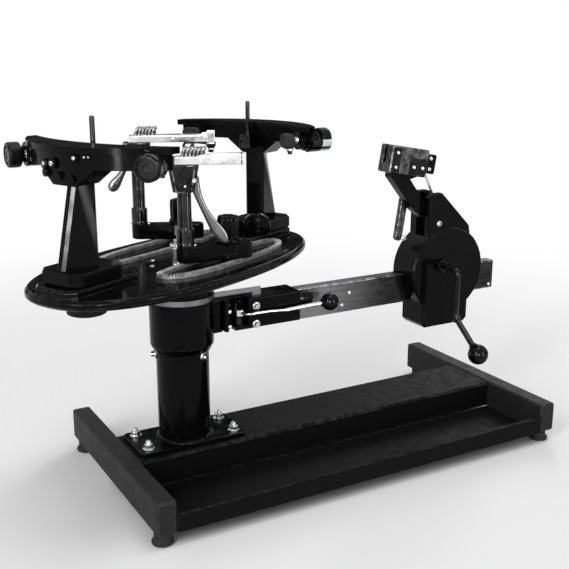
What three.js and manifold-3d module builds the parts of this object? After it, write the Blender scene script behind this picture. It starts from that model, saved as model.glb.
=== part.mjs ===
import * as THREE from 'three';
import { mergeVertices } from 'three/addons/utils/BufferGeometryUtils.js';
import Module from 'manifold-3d';

// Racket stringing machine in millimetres, +Z up, standing on the plane z = 0.
// X runs along the tension rail, Y across it, and the column axis is the layout origin.

// General clearances and facet counts
const gap = 0.3;
const overrun = 3;
const bigSides = 40;
const midSides = 20;
const smallSides = 12;
const rodSides = 10;
const ballSides = 18;
const bendSteps = 6;

// Base frame
const legLength = 384;
const legWidth = 30;
const legHeight = 50;
const legChamfer = 2.5;
const legSpacing = 707;
const columnInset = 110;
const footHeight = 20;
const footRadius = 16;
const footNeckRadius = 12;
const footRim = 5;
const footInset = 20;
const beamWidth = 110;
const beamTopDrop = 2;
const beamBottomRise = 1;
const beamChamfer = 3;
const traySheet = 2.5;
const trayLipHeight = 28.5;
const trayReturn = 7;

// Column and flange
const flangeLength = 178;
const flangeWidth = 88;
const flangeThickness = 6;
const flangeCorner = 6;
const columnRadius = 41;
const columnHeight = 216.8;

// Hub sleeve with its bearing cap
const sleeveWall = 8;
const sleeveHeight = 58;
const sleeveTaperHeight = 11;
const sleeveLipWall = 2.5;
const sleeveCap = 6;
const sleeveBossReach = 9;
const sleeveBossWidth = 48;
const sleeveBossHeight = 52;

// Rail bracket, tension rail and bumper
const bracketPlate = 6;
const bracketCap = 4;
const bracketRise = 7;
const bracketFront = 34;
const bracketRear = 14;
const bracketLength = 133;
const recessLength = 35;
const recessDepth = 22;
const boltLugLength = 24;
const boltLugHeight = 5;
const bracketChamfer = 1.5;
const railHeight = 52;
const railThickness = 22;
const railSocket = 51;
const railReach = 425;
const railChamfer = 1.5;
const railDrop = 24.6;
const bumperRadius = 11;
const bumperLength = 26;
const bumperChamfer = 3;
const bumperRise = 14;

// Brake band, brake bolt and brake lever
const bandThickness = 2;
const bandWidth = 8;
const bandRise = 5;
const bandTabReach = 126;
const bandTabDepth = 21;
const bandFootLength = 15;
const brakeBoltRadius = 4;
const brakeBoltTop = 40;
const brakeNutRadius = 7.5;
const brakeNutHeight = 15;
const brakeHubRadius = 8.5;
const brakeHubHeight = 11;
const brakeRodRadius = 3;
const brakeRodStep = 6;
const brakeRodOffset = 20;
const brakeRodLength = 148;
const brakeBallRadius = 15;
const brakeBallCentre = 154;

// Turntable plate, hub and tower rails
const tableAngleDegrees = 27.3;
const tableHalfLength = 268;
const tableHalfWidth = 133;
const tableExponentShare = 2.33;
const tableThickness = 14;
const tableEdge = 4;
const hubRadius = 49;
const hubHeight = 54;
const spindleRadius = 12;
const spindleLength = 42;
const ribWidth = 8;
const ribHeight = 12;
const ribSpacing = 48;
const ribReach = 128;
const towerRailHeight = 10.5;
const towerRailWidth = 76;
const towerRailInner = 122;
const towerRailOuter = 260;
const towerRailEdge = 3;

// Centre bolt on the turntable
const centreBoltRadius = 11;
const centreBoltHeight = 18;
const centreFlangeRadius = 14;
const centreFlangeHeight = 5;
const centreHexRadius = 9;
const centreHexHeight = 7;

// Toothed clamp tracks
const trackHeight = 6;
const trackWidth = 8;
const trackEdgeDrop = 1.2;
const trackReachLeft = 112;
const trackReachRight = 172;
const trackInnerOffset = 38;
const trackOuterOffset = 98;
const trackBellyShare = 0.25;
const trackEndShare = 0.72;
const trackSideShare = 0.8;
const trackSteps = 36;

// Towers
const towerPosition = 208;
const towerTravel = 30;
const towerLeftInset = 12;
const towerBaseInner = 44;
const towerBaseOuter = 52;
const towerBaseWidth = 74;
const towerBaseHeight = 19;
const towerBaseCorner = 13;
const towerBaseEdge = 2;
const columnFaceInset = 13;
const columnFaceHalf = 18;
const columnBackHalf = 7.5;
const columnFootDepth = 58;
const columnTopDepth = 30;
const columnCorner = 4;
const towerColumnHeight = 112;
const headUnderside = 109;
const headHeight = 50.5;
const headFlange = 8.5;
const headHalfSpan = 124;
const headOuterReach = 28;
const headOuterRadius = 160;
const headInnerReach = 14;
const headInnerRadius = 300;
const flangeOverhang = 4;
const flangeExtraSpan = 6;
const wingUnderRise = 22;
const wingStart = 48;
const wingKneeRise = 16;
const wingKnee = 41;
const wingLipRise = 4;
const wingLip = 25;
const wingCentreHalf = 20;

// Tower locking wheel
const wheelRadius = 27.2;
const wheelHeight = 20;
const wheelEdge = 3;
const wheelCollarRadius = 12;
const wheelCollarHeight = 2.7;
const wheelStemRadius = 5;
const wheelStemBite = 13;
const wheelSlotPlay = 0.7;

// Centre support with its upright pin
const supportSize = 20;
const supportHeight = 21;
const supportStandOff = 28;
const supportDrop = 19;
const supportEdge = 1;
const supportStemRadius = 6;
const supportTravel = 15;
const supportGrip = 10;
const supportPinRadius = 3.5;
const supportPinTop = 34;
const supportPinTip = 1.5;

// Shoulder screws, knobs and pads
const shoulderOutward = 8;
const shoulderSpan = 117;
const shoulderAngleDegrees = 25;
const shoulderDrop = 22;
const shoulderBossRadius = 14.5;
const shoulderBossLength = 28;
const shoulderKnobRadius = 17.5;
const shoulderKnobLength = 20;
const shoulderKnobEdge = 3;
const shoulderKnobNeckRadius = 11;
const shoulderKnobNeck = 2;
const shoulderKnobPlay = 5;
const shoulderScrewRadius = 5;
const shoulderScrewLength = 53;
const shoulderPadThickness = 10;
const shoulderPadWidth = 28;
const shoulderPadHeight = 22;
const shoulderPadCorner = 5;
const shoulderPadBore = 6;

// Places of the clamps on their tracks, with the directions of base and jaws
const nearBoltAlong = 20;
const nearBoltAcross = -77;
const nearBaseDegrees = 148;
const nearHeadDegrees = -52;
const farBoltAlong = 94;
const farBoltAcross = 74;
const farBaseDegrees = 129;
const farHeadDegrees = -50;

// Clamp shoe, base and lock knob
const shoeSize = 20;
const shoeHeight = 5.2;
const clampBoltRadius = 5;
const clampBoltBite = 10;
const clampBaseHeight = 23.7;
const clampBaseWidth = 26;
const clampBaseEdge = 1.5;
const clampPostOffset = 66;
const clampTailOffset = 24;
const clampBossRadius = 16;
const lockKnobRadius = 17;
const lockKnobHeight = 40;
const lockKnobSkirt = 7;
const lockKnobFlute = 2.2;
const lockKnobLobes = 8;
const lockKnobEdge = 2;

// Clamp post and head
const postRadius = 10;
const postHeightNear = 79;
const postHeightFar = 92;
const postCollarRadius = 12.8;
const postCollarHeight = 25;
const postCollarTaper = 2;
const postSpigotRadius = 7;
const postSpigotLength = 26;
const clampHeadHeight = 38.5;
const clampHeadBottomLength = 31;
const clampHeadTopLength = 44;
const clampHeadBottomWidth = 29;
const clampHeadTopWidth = 34;
const clampHeadCorner = 5;
const jawHeight = 14.5;
const jawThickness = 9;
const jawOpening = 4.4;
const jawFront = 18;
const jawRear = 76;
const jawNoseCut = 5;
const jawBlockLength = 12;
const jawBlockExtra = 2.5;
const jawScrewRadius = 5;
const jawScrewLength = 10;
const clawCount = 6;
const clawPitch = 5.4;
const clawThickness = 3;
const clawHeight = 11.5;
const clawLean = 5;
const clawWidth = 3.2;
const clawShoulderShare = 0.6;
const clawTipShare = 0.33;
const leverThickness = 8;
const leverPlay = 0.5;
const leverPivotReach = 15;
const leverPivotHeight = 17;
const leverRootRadius = 7;
const leverDropNear = 84;
const leverSpreadNear = 38;
const leverDropFar = 50;
const leverSpreadFar = 26;
const leverCurveShare = 1.6;
const leverTipAcrossShare = 0.25;
const leverTipDownShare = 0.33;
const leverRootWidth = 14;
const leverTipWidth = 18;

// Tension head housing
const headPosition = 484;
const housingFront = 45;
const housingNeckFront = 40;
const housingRear = 16;
const housingEdge = 3;
const drumRadius = 76;
const drumRise = 29.5;
const railPlay = 0.5;
const boxHalfWidth = 50;
const boxOffset = -3;
const boxDrop = 98;
const boxTopDrop = 28;
const boxCorner = 7;
const neckLeft = -42;
const neckRight = 50;
const neckShoulderRise = 62;
const neckSlopeTop = -15;
const neckSlopeFoot = 75;
const neckTopRise = 136;
const neckBottomRise = 30;
const armSlotWidth = 24;
const armSlotRight = -6;
const armSlotRise = 62;

// Crank
const crankOffset = -18;
const crankRise = 12;
const crankRodRadius = 5;
const crankShaftReach = 45;
const crankShaftBite = 25;
const crankCollarRadius = 11;
const crankCollarLength = 8;
const crankArmLength = 81;
const crankHandleOut = 58;
const crankHandleDrop = 46;
const crankBend = 10;
const crankBallRadius = 17;
const crankBallBite = 12;

// Tension arm, gripper and release lever
const armPivotOffset = -21;
const armPivotRise = 84;
const armPlane = -15;
const armThickness = 18;
const armPivotRadius = 12;
const armPinRadius = 6;
const gripTilt = 10;
const gripOffset = -82;
const gripRise = 109;
const gripLength = 76;
const gripHeight = 46;
const gripDepth = 36;
const gripEdge = 2;
const gripSlotWidth = 12;
const gripSlotDepth = 30;
const gripEndLength = 22;
const gripEndHeight = 33;
const gripEndDepth = 24;
const gripEndDrop = 6;
const gripFixedJaw = 4;
const gripJawThickness = 4;
const gripJawHeight = 24;
const gripJawLength = 62;
const armTopHalf = 27;
const armTopBite = 6;
const armElbowOffset = -66;
const armElbowRise = 26;
const armShoulderOffset = -46;
const armShoulderRise = 42;
const tensionRodRadius = 2;
const tensionRodLength = 50;
const tensionRodInset = 12;
const tensionRodSeat = 8;
const tensionRodAngleDegrees = 27;
const releaseTopOffset = -78;
const releaseTopRise = 30;
const releaseLength = 57;
const releaseWidth = 13;
const releaseThickness = 9;
const releaseTiltDegrees = 15;
const releasePinRadius = 4;
const releasePinLength = 12;
const releaseEnd = 4;

// Heights that the stack of pieces gives
const legTop = footHeight + legHeight;
const beamTop = legTop - beamTopDrop;
const flangeBottom = beamTop + gap;
const columnTop = flangeBottom + columnHeight;
const sleeveTop = columnTop + gap + sleeveCap;
const sleeveBottom = sleeveTop - sleeveCap - sleeveHeight - sleeveTaperHeight;
const hubBottom = sleeveTop + gap;
const tableBottom = hubBottom + hubHeight;
const tableTop = tableBottom + tableThickness;
const towerBottom = tableTop + towerRailHeight + gap;
const towerBaseTop = towerBottom + towerBaseHeight;
const headTop = towerBaseTop + headUnderside + headHeight;
const clampBaseBottom = tableTop + gap + trackHeight + gap;
const clampBaseTop = clampBaseBottom + clampBaseHeight;
const postBottom = clampBaseTop + gap;
const jawBottom = clampHeadHeight + gap;
const sleeveRadius = columnRadius + gap + sleeveWall;
const bossFace = sleeveRadius + sleeveBossReach;
const bracketStart = bossFace + gap;
const bracketEnd = bracketStart + bracketLength;
const railStart = bracketEnd - railSocket;
const railEnd = bracketEnd + railReach;
const railCentreHeight = columnTop - railDrop;
const bracketLow = railCentreHeight - railHeight / 2 + bracketRise;
const bracketHigh = railCentreHeight + railHeight / 2 + bracketCap;
const drumCentreHeight = railCentreHeight + drumRise;
const neckTopHeight = drumCentreHeight + neckTopRise;
const armPivotHeight = drumCentreHeight + armPivotRise;
const gripCentreHeight = armPivotHeight + gripRise;
const radians = Math.PI / 180;

const wasm = await Module();
wasm.setup();

// Merges shared vertices, drops empty triangles and turns the faces outward
function closed(geometry) {
  const bare = geometry.index ? geometry.toNonIndexed() : geometry;
  const plain = new THREE.BufferGeometry();
  plain.setAttribute('position', bare.getAttribute('position').clone());
  const merged = mergeVertices(plain, 1e-4);
  const position = merged.getAttribute('position');
  const index = merged.getIndex().array;
  const kept = [];
  let volume = 0;
  const a = new THREE.Vector3();
  const b = new THREE.Vector3();
  const c = new THREE.Vector3();
  for (let i = 0; i < index.length; i += 3) {
    const [p, q, r] = [index[i], index[i + 1], index[i + 2]];
    if (p === q || q === r || r === p) continue;
    kept.push(p, q, r);
    a.fromBufferAttribute(position, p);
    b.fromBufferAttribute(position, q);
    c.fromBufferAttribute(position, r);
    volume += a.dot(b.cross(c));
  }
  if (volume < 0) {
    for (let i = 0; i < kept.length; i += 3) {
      [kept[i], kept[i + 1]] = [kept[i + 1], kept[i]];
    }
  }
  merged.setIndex(kept);
  return merged;
}

function solid(geometry) {
  const merged = closed(geometry);
  return new wasm.Manifold(new wasm.Mesh({
    numProp: 3,
    vertProperties: new Float32Array(merged.getAttribute('position').array),
    triVerts: new Uint32Array(merged.getIndex().array),
  }));
}

function geometryOf(manifold) {
  const mesh = manifold.getMesh();
  const geometry = new THREE.BufferGeometry();
  const count = mesh.vertProperties.length / mesh.numProp;
  const position = new Float32Array(count * 3);
  for (let i = 0; i < count; i += 1) {
    position.set(mesh.vertProperties.subarray(i * mesh.numProp, i * mesh.numProp + 3), i * 3);
  }
  geometry.setAttribute('position', new THREE.BufferAttribute(position, 3));
  geometry.setIndex(new THREE.BufferAttribute(new Uint32Array(mesh.triVerts), 1));
  return geometry;
}

function join(...pieces) {
  return pieces.map(solid).reduce((whole, piece) => whole.add(piece));
}

function cut(whole, ...tools) {
  return tools.map(solid).reduce((rest, tool) => rest.subtract(tool), whole);
}

// A block between two corners
function block(x0, x1, y0, y1, z0, z1) {
  const geometry = new THREE.BoxGeometry(x1 - x0, y1 - y0, z1 - z0);
  return geometry.translate((x0 + x1) / 2, (y0 + y1) / 2, (z0 + z1) / 2);
}

// A round bar along Z from z0 to z1
function rod(radius, z0, z1, sides = midSides) {
  const geometry = new THREE.CylinderGeometry(radius, radius, z1 - z0, sides);
  return geometry.rotateX(Math.PI / 2).translate(0, 0, (z0 + z1) / 2);
}

// A turned form about Z from [radius, z] pairs
function turned(profile, sides = midSides) {
  const points = profile.map(([radius, z]) => new THREE.Vector2(radius, z));
  return new THREE.LatheGeometry(points, sides).rotateX(Math.PI / 2);
}

// A flat outline in X and Y raised from z0 to z1 with an optional bevelled edge
function raised(outline, z0, z1, edge = 0) {
  const shape = new THREE.Shape(outline.map(([x, y]) => new THREE.Vector2(x, y)));
  const geometry = new THREE.ExtrudeGeometry(shape, {
    depth: z1 - z0 - 2 * edge,
    bevelEnabled: edge > 0,
    bevelThickness: edge,
    bevelSize: edge,
    bevelOffset: -edge,
    bevelSegments: 1,
    steps: 1,
  });
  return geometry.translate(0, 0, z0 + edge);
}

// An outline in Y and Z drawn out along X
function alongX(outline, x0, x1, edge = 0) {
  return raised(outline, x0, x1, edge).applyMatrix4(new THREE.Matrix4().set(
    0, 0, 1, 0,
    1, 0, 0, 0,
    0, 1, 0, 0,
    0, 0, 0, 1,
  ));
}

// An outline in X and Z drawn out along Y
function alongY(outline, y0, y1, edge = 0) {
  return raised(outline, -y1, -y0, edge).rotateX(Math.PI / 2);
}

// A body between two outlines of equal count at two heights
function loft(lower, z0, upper, z1) {
  const count = lower.length;
  const triangles = THREE.ShapeUtils.triangulateShape(
    lower.map(([x, y]) => new THREE.Vector2(x, y)),
    [],
  );
  const position = [];
  const low = (i) => [...lower[i % count], z0];
  const high = (i) => [...upper[i % count], z1];
  for (let i = 0; i < count; i += 1) {
    position.push(...low(i), ...low(i + 1), ...high(i));
    position.push(...high(i), ...low(i + 1), ...high(i + 1));
  }
  for (const [p, q, r] of triangles) {
    position.push(...low(r), ...low(q), ...low(p));
    position.push(...high(p), ...high(q), ...high(r));
  }
  const geometry = new THREE.BufferGeometry();
  geometry.setAttribute('position', new THREE.Float32BufferAttribute(position, 3));
  return geometry;
}

// A rectangle with cut corners
function chamfered(x0, x1, y0, y1, corner) {
  return [
    [x0 + corner, y0], [x1 - corner, y0], [x1, y0 + corner], [x1, y1 - corner],
    [x1 - corner, y1], [x0 + corner, y1], [x0, y1 - corner], [x0, y0 + corner],
  ];
}

function circle(radius, sides, x = 0, y = 0) {
  return Array.from({ length: sides }, (_, i) => {
    const angle = 2 * Math.PI * i / sides;
    return [x + radius * Math.cos(angle), y + radius * Math.sin(angle)];
  });
}

// A round bar along straight runs joined by bends
function bentRod(points, bend, radius, sides) {
  const path = new THREE.CurvePath();
  const corners = points.map((p) => new THREE.Vector3(...p));
  let start = corners[0];
  for (let i = 1; i < corners.length - 1; i += 1) {
    const before = corners[i - 1].clone().sub(corners[i]).normalize();
    const after = corners[i + 1].clone().sub(corners[i]).normalize();
    const entry = corners[i].clone().addScaledVector(before, bend);
    const exit = corners[i].clone().addScaledVector(after, bend);
    path.add(new THREE.LineCurve3(start, entry));
    path.add(new THREE.QuadraticBezierCurve3(entry, corners[i], exit));
    start = exit;
  }
  path.add(new THREE.LineCurve3(start, corners[corners.length - 1]));
  const section = new THREE.Shape(circle(radius, sides).map(([x, y]) => new THREE.Vector2(x, y)));
  const steps = (corners.length - 1) * bendSteps;
  return new THREE.ExtrudeGeometry(section, { steps, extrudePath: path, bevelEnabled: false });
}

function piece(name, manifoldOrGeometry, material) {
  const isGeometry = manifoldOrGeometry.isBufferGeometry;
  const geometry = isGeometry ? closed(manifoldOrGeometry) : geometryOf(manifoldOrGeometry);
  const flat = geometry.toNonIndexed();
  flat.computeVertexNormals();
  const mesh = new THREE.Mesh(flat, material.clone());
  mesh.name = name;
  return mesh;
}

function finish(color, roughness, metalness) {
  return new THREE.MeshStandardMaterial({ color, roughness, metalness });
}

const powderBlack = finish(0x1c1c1e, 0.62, 0);
const glossBlack = finish(0x0d0d0f, 0.22, 0);
const rubber = finish(0x141414, 0.85, 0);
const brushedSteel = finish(0x5a5c60, 0.4, 1);
const darkSteel = finish(0x3a3b3e, 0.3, 1);
const chrome = finish(0xc9cbce, 0.12, 1);
const brightAlloy = finish(0xb9bbbe, 0.3, 1);
const phenolic = finish(0x0a0a0b, 0.15, 0);

// Legs, feet, beam and tray
function leg() {
  const outline = chamfered(-legWidth / 2, legWidth / 2, footHeight, legTop, legChamfer);
  return alongY(outline, -legLength / 2, legLength / 2, legChamfer);
}

function foot() {
  return turned([
    [0, 0], [footRadius - legChamfer, 0], [footRadius, legChamfer], [footRadius, footRim],
    [footNeckRadius, footHeight - footRim], [footNeckRadius, footHeight - gap], [0, footHeight - gap],
  ], midSides);
}

function beam(x0, x1) {
  const outline = chamfered(
    -beamWidth / 2, beamWidth / 2, footHeight + beamBottomRise, beamTop, beamChamfer,
  );
  return alongX(outline, x0 + gap, x1 - gap);
}

function tray(x0, x1) {
  const front = -legLength / 2;
  const back = -beamWidth / 2 - gap;
  const top = footHeight + trayLipHeight;
  return alongX([
    [front, footHeight], [back, footHeight], [back, footHeight + traySheet],
    [front + traySheet, footHeight + traySheet], [front + traySheet, top - traySheet],
    [front + trayReturn, top - traySheet], [front + trayReturn, top], [front, top],
  ], x0 + gap, x1 - gap);
}

// Column on its flange, with the bore that the turntable spindle turns in
function column() {
  const flange = raised(chamfered(
    -flangeLength / 2, flangeLength / 2, -flangeWidth / 2, flangeWidth / 2, flangeCorner,
  ), flangeBottom, flangeBottom + flangeThickness);
  const tube = rod(columnRadius, flangeBottom + flangeThickness / 2, columnTop, bigSides);
  const boreBottom = hubBottom - spindleLength - gap;
  const bore = rod(spindleRadius + gap, boreBottom, columnTop + overrun);
  return cut(join(flange, tube), bore);
}

// Sleeve that drops over the column and carries the rail bracket
function sleeve() {
  const outer = turned([
    [0, sleeveBottom], [columnRadius + gap + sleeveLipWall, sleeveBottom],
    [sleeveRadius, sleeveBottom + sleeveTaperHeight], [sleeveRadius, sleeveTop], [0, sleeveTop],
  ], bigSides);
  const boss = block(
    0, bossFace, -sleeveBossWidth / 2, sleeveBossWidth / 2,
    sleeveTop - sleeveBossHeight, sleeveTop,
  );
  const socket = rod(columnRadius + gap, sleeveBottom - overrun, columnTop + gap, bigSides);
  const bore = rod(spindleRadius + gap, columnTop, sleeveTop + overrun);
  return cut(join(outer, boss), socket, bore);
}

// Bracket between the sleeve and the rail: a saddle over the rail's end, open at the front
// where the brake bolt stands
function bracket() {
  const low = bracketLow;
  const high = bracketHigh;
  const plateEnd = bracketStart + bracketPlate;
  const recessEnd = plateEnd + recessLength;
  const plate = block(bracketStart, plateEnd, -bracketFront, bracketRear, low, sleeveTop);
  const web = alongX(
    chamfered(recessDepth - bracketFront, bracketRear, low, high, bracketChamfer),
    bracketStart + bracketPlate / 2, bracketEnd,
  );
  const front = alongX(
    chamfered(-bracketFront, 0, low, high, bracketChamfer), recessEnd, bracketEnd,
  );
  const lug = block(
    recessEnd - boltLugLength, recessEnd + bracketPlate, -bracketFront, 0, low, low + boltLugHeight,
  );
  const socket = block(
    railStart - gap, bracketEnd + overrun,
    -railThickness / 2 - gap, railThickness / 2 + gap,
    low - overrun, railCentreHeight + railHeight / 2 + gap,
  );
  return cut(join(plate, web, front, lug), socket);
}

function rail() {
  return alongX(chamfered(
    -railThickness / 2, railThickness / 2,
    railCentreHeight - railHeight / 2, railCentreHeight + railHeight / 2, railChamfer,
  ), railStart, railEnd);
}

function bumper() {
  const form = turned([
    [0, gap], [bumperRadius, gap], [bumperRadius, bumperLength - bumperChamfer],
    [bumperRadius - bumperChamfer, bumperLength], [0, bumperLength],
  ], midSides);
  form.rotateY(Math.PI / 2);
  const centreY = (-bracketFront - railThickness / 2) / 2;
  return form.translate(bracketEnd, centreY, railCentreHeight + bumperRise);
}

// Brake band round the turntable hub, its tab held on top of the bracket
function brakeBand() {
  const low = hubBottom + bandRise;
  const inner = hubRadius + gap;
  const ring = rod(inner + bandThickness, low, low + bandWidth, bigSides);
  const tabEnd = bandTabReach;
  const tab = block(
    0, tabEnd, -bandTabDepth - bandThickness, -bandTabDepth, low, low + bandWidth,
  );
  const footing = block(
    tabEnd - bandFootLength, tabEnd, -bandTabDepth - bandThickness, -bandTabDepth,
    bracketHigh + gap, low + bandWidth,
  );
  return cut(join(ring, tab, footing), rod(inner, low - overrun, low + bandWidth + overrun, bigSides));
}

const brakeBoltX = bracketStart + bracketPlate + recessLength - boltLugLength / 2;
const brakeBoltY = -bracketFront + recessDepth / 2;
const brakeSeat = bracketLow + boltLugHeight;

function brakeBolt() {
  const low = brakeSeat + gap;
  const nut = rod(brakeNutRadius, low, low + brakeNutHeight, 6);
  const shank = rod(brakeBoltRadius, low, low + brakeBoltTop, smallSides);
  return geometryOf(join(nut, shank)).translate(brakeBoltX, brakeBoltY, 0);
}

// Brake lever hub and cranked rod, in the frame of the brake bolt
function brakeLever() {
  const low = brakeSeat + 2 * gap + brakeNutHeight;
  const middle = low + brakeHubHeight / 2;
  const hub = rod(brakeHubRadius, low, low + brakeHubHeight, midSides);
  const bore = rod(brakeBoltRadius + gap, low - overrun, low + brakeHubHeight + overrun, smallSides);
  const arm = bentRod([
    [0, -brakeBoltRadius - brakeRodRadius, middle],
    [brakeRodStep, -brakeRodOffset, middle],
    [brakeRodLength, -brakeRodOffset, middle],
  ], brakeHubRadius, brakeRodRadius, rodSides);
  return cut(join(hub, arm), bore);
}

function brakeBall() {
  const middle = brakeSeat + 2 * gap + brakeNutHeight + brakeHubHeight / 2;
  const ball = new THREE.SphereGeometry(brakeBallRadius, ballSides, smallSides);
  ball.translate(brakeBallCentre, -brakeRodOffset, middle);
  const hole = rod(brakeRodRadius + gap, brakeRodLength / 2, brakeRodLength + gap, smallSides);
  hole.rotateY(Math.PI / 2).translate(0, -brakeRodOffset, middle);
  return cut(solid(ball), hole);
}

// Turntable casting: oval plate, hub, spindle, ribs and the two raised tower rails
function ovalOutline(halfLength, halfWidth, count) {
  return Array.from({ length: count }, (_, i) => {
    const angle = 2 * Math.PI * i / count;
    const c = Math.cos(angle);
    const s = Math.sin(angle);
    const power = 2 / tableExponentShare;
    return [
      halfLength * Math.sign(c) * Math.abs(c) ** power,
      halfWidth * Math.sign(s) * Math.abs(s) ** power,
    ];
  });
}

function turntable() {
  const plate = raised(
    ovalOutline(tableHalfLength, tableHalfWidth, bigSides + midSides), tableBottom, tableTop, tableEdge,
  );
  const hub = rod(hubRadius, hubBottom, tableBottom + tableThickness / 2, bigSides);
  const spindle = rod(spindleRadius, hubBottom - spindleLength, tableBottom, midSides);
  const pieces = [plate, hub, spindle];
  for (const side of [-1, 1]) {
    const y = side * ribSpacing / 2;
    pieces.push(block(
      -ribReach, ribReach, y - ribWidth / 2, y + ribWidth / 2,
      tableBottom - ribHeight, tableBottom + tableEdge,
    ));
  }
  const tools = [];
  const slotHalf = wheelStemRadius + wheelSlotPlay;
  for (const side of [0, Math.PI]) {
    const strip = raised(chamfered(
      towerRailInner, towerRailOuter, -towerRailWidth / 2, towerRailWidth / 2, towerBaseCorner,
    ), tableTop - tableEdge, tableTop + towerRailHeight, towerRailEdge);
    pieces.push(strip.rotateZ(side));
    tools.push(block(
      towerPosition - towerTravel - slotHalf, towerPosition + slotHalf, -slotHalf, slotHalf,
      tableBottom - overrun, tableTop + towerRailHeight + overrun,
    ).rotateZ(side));
  }
  return cut(join(...pieces), ...tools);
}

function centreBolt() {
  const low = tableTop + gap;
  const shank = rod(centreBoltRadius, low, low + centreBoltHeight, midSides);
  const flangeLow = low + centreBoltHeight - gap;
  const flange = rod(centreFlangeRadius, flangeLow, flangeLow + centreFlangeHeight, midSides);
  const hex = rod(centreHexRadius, flangeLow, flangeLow + centreFlangeHeight + centreHexHeight, 6);
  return join(shank, flange, hex);
}

// Closed track ring whose outer edge follows the plate and whose inner edge runs straight
function trackOutline(side, inset) {
  const length = (trackReachLeft + trackReachRight) / 2 - inset;
  const middle = (trackReachRight - trackReachLeft) / 2;
  const inner = trackInnerOffset + inset;
  const outer = trackOuterOffset - inset;
  const centre = inner + (outer - inner) * trackBellyShare;
  return Array.from({ length: trackSteps }, (_, i) => {
    const angle = 2 * Math.PI * i / trackSteps;
    const along = Math.sign(Math.cos(angle)) * Math.abs(Math.cos(angle)) ** trackEndShare;
    const across = Math.sin(angle);
    const target = across > 0 ? inner : outer;
    const bulge = Math.abs(across) ** trackSideShare;
    return [middle + length * along, side * (centre + (target - centre) * bulge)];
  });
}

function track(side) {
  const low = tableTop + gap;
  const high = low + trackHeight;
  const ring = raised(trackOutline(side, 0), low, high, trackEdgeDrop);
  const opening = raised(trackOutline(side, trackWidth), low - overrun, high + overrun);
  return cut(solid(ring), opening);
}

// Tower frame: X points outward from the turntable centre, Y across it
function circleX(centre, radius, y) {
  return centre + Math.sqrt(radius * radius - y * y);
}

function crescent(outerX, outerRadius, innerX, innerRadius, halfSpan, z0, z1) {
  const steps = 12;
  const outline = [];
  for (let i = 0; i <= steps; i += 1) {
    const y = halfSpan * (2 * i / steps - 1);
    outline.push([circleX(outerX - outerRadius, outerRadius, y), y]);
  }
  for (let i = steps; i >= 0; i -= 1) {
    const y = halfSpan * (2 * i / steps - 1);
    outline.push([circleX(innerX - innerRadius, innerRadius, y), y]);
  }
  return raised(outline, z0, z1);
}

const headOuterX = towerPosition + headOuterReach;
const headInnerX = towerPosition - headInnerReach;
const headBottom = towerBaseTop + headUnderside;
const flangeLow = headTop - headFlange;
const shoulderX = towerPosition - shoulderOutward;
const shoulderZ = headTop - shoulderDrop;
const supportX = towerPosition - supportStandOff;
const supportZ = headTop - supportDrop - supportHeight / 2;
const supportStemEnd = headInnerX + supportTravel + supportGrip;

// Turns a form made along +X onto a shoulder screw axis, pointing inward from its knob
function onShoulder(geometry, side) {
  geometry.rotateZ(Math.PI + side * shoulderAngleDegrees * radians);
  return geometry.translate(shoulderX, side * shoulderSpan, shoulderZ);
}

function towerColumnOutline(depth) {
  const face = towerPosition - columnFaceInset;
  const back = face + depth;
  return [
    [face, columnFaceHalf - columnCorner], [face, columnCorner - columnFaceHalf],
    [face + columnCorner, -columnFaceHalf], [back - columnCorner, -columnBackHalf],
    [back, columnCorner - columnBackHalf], [back, columnBackHalf - columnCorner],
    [back - columnCorner, columnBackHalf], [face + columnCorner, columnFaceHalf],
  ];
}

function tower() {
  const base = raised(chamfered(
    towerPosition - towerBaseInner, towerPosition + towerBaseOuter,
    -towerBaseWidth / 2, towerBaseWidth / 2, towerBaseCorner,
  ), towerBottom, towerBaseTop, towerBaseEdge);
  const shaft = loft(
    towerColumnOutline(columnFootDepth), towerBaseTop - towerBaseEdge,
    towerColumnOutline(columnTopDepth), towerBaseTop + towerColumnHeight,
  );
  const wings = crescent(
    headOuterX, headOuterRadius, headInnerX, headInnerRadius, headHalfSpan,
    headBottom, headTop - headFlange / 2,
  );
  const underside = [
    [wingCentreHalf, headBottom], [wingLip, headBottom + wingLipRise],
    [wingKnee, headBottom + wingKneeRise], [wingStart, headBottom + wingUnderRise],
    [headHalfSpan + overrun, headBottom + wingUnderRise], [headHalfSpan + overrun, headTop + overrun],
  ];
  const mirrored = underside.map(([y, z]) => [-y, z]).reverse();
  const profile = alongX([...underside, ...mirrored], 0, headOuterX + overrun);
  const plate = crescent(
    headOuterX + flangeOverhang, headOuterRadius + flangeOverhang,
    headInnerX - flangeOverhang, headInnerRadius - flangeOverhang, headHalfSpan + flangeExtraSpan,
    flangeLow, headTop,
  );
  let whole = solid(wings).intersect(solid(profile));
  whole = [base, shaft, plate].reduce((rest, form) => rest.add(solid(form)), whole);
  const bores = [];
  for (const side of [-1, 1]) {
    const boss = rod(shoulderBossRadius, 0, shoulderBossLength, midSides).rotateY(Math.PI / 2);
    boss.translate(shoulderKnobNeck + shoulderKnobPlay + gap, 0, 0);
    whole = whole.add(solid(onShoulder(boss, side)));
    const bore = rod(
      shoulderScrewRadius + gap, -shoulderKnobLength, shoulderScrewLength + shoulderKnobLength, smallSides,
    ).rotateY(Math.PI / 2);
    bores.push(onShoulder(bore, side));
  }
  const stemBore = rod(supportStemRadius + gap, supportX, supportStemEnd + gap, smallSides);
  stemBore.rotateY(Math.PI / 2).translate(0, 0, supportZ);
  bores.push(stemBore);
  const lockBore = rod(
    wheelStemRadius + gap, towerBottom - overrun, towerBottom + wheelStemBite + gap, smallSides,
  );
  bores.push(lockBore.translate(towerPosition, 0, 0));
  return cut(whole, ...bores);
}

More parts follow.
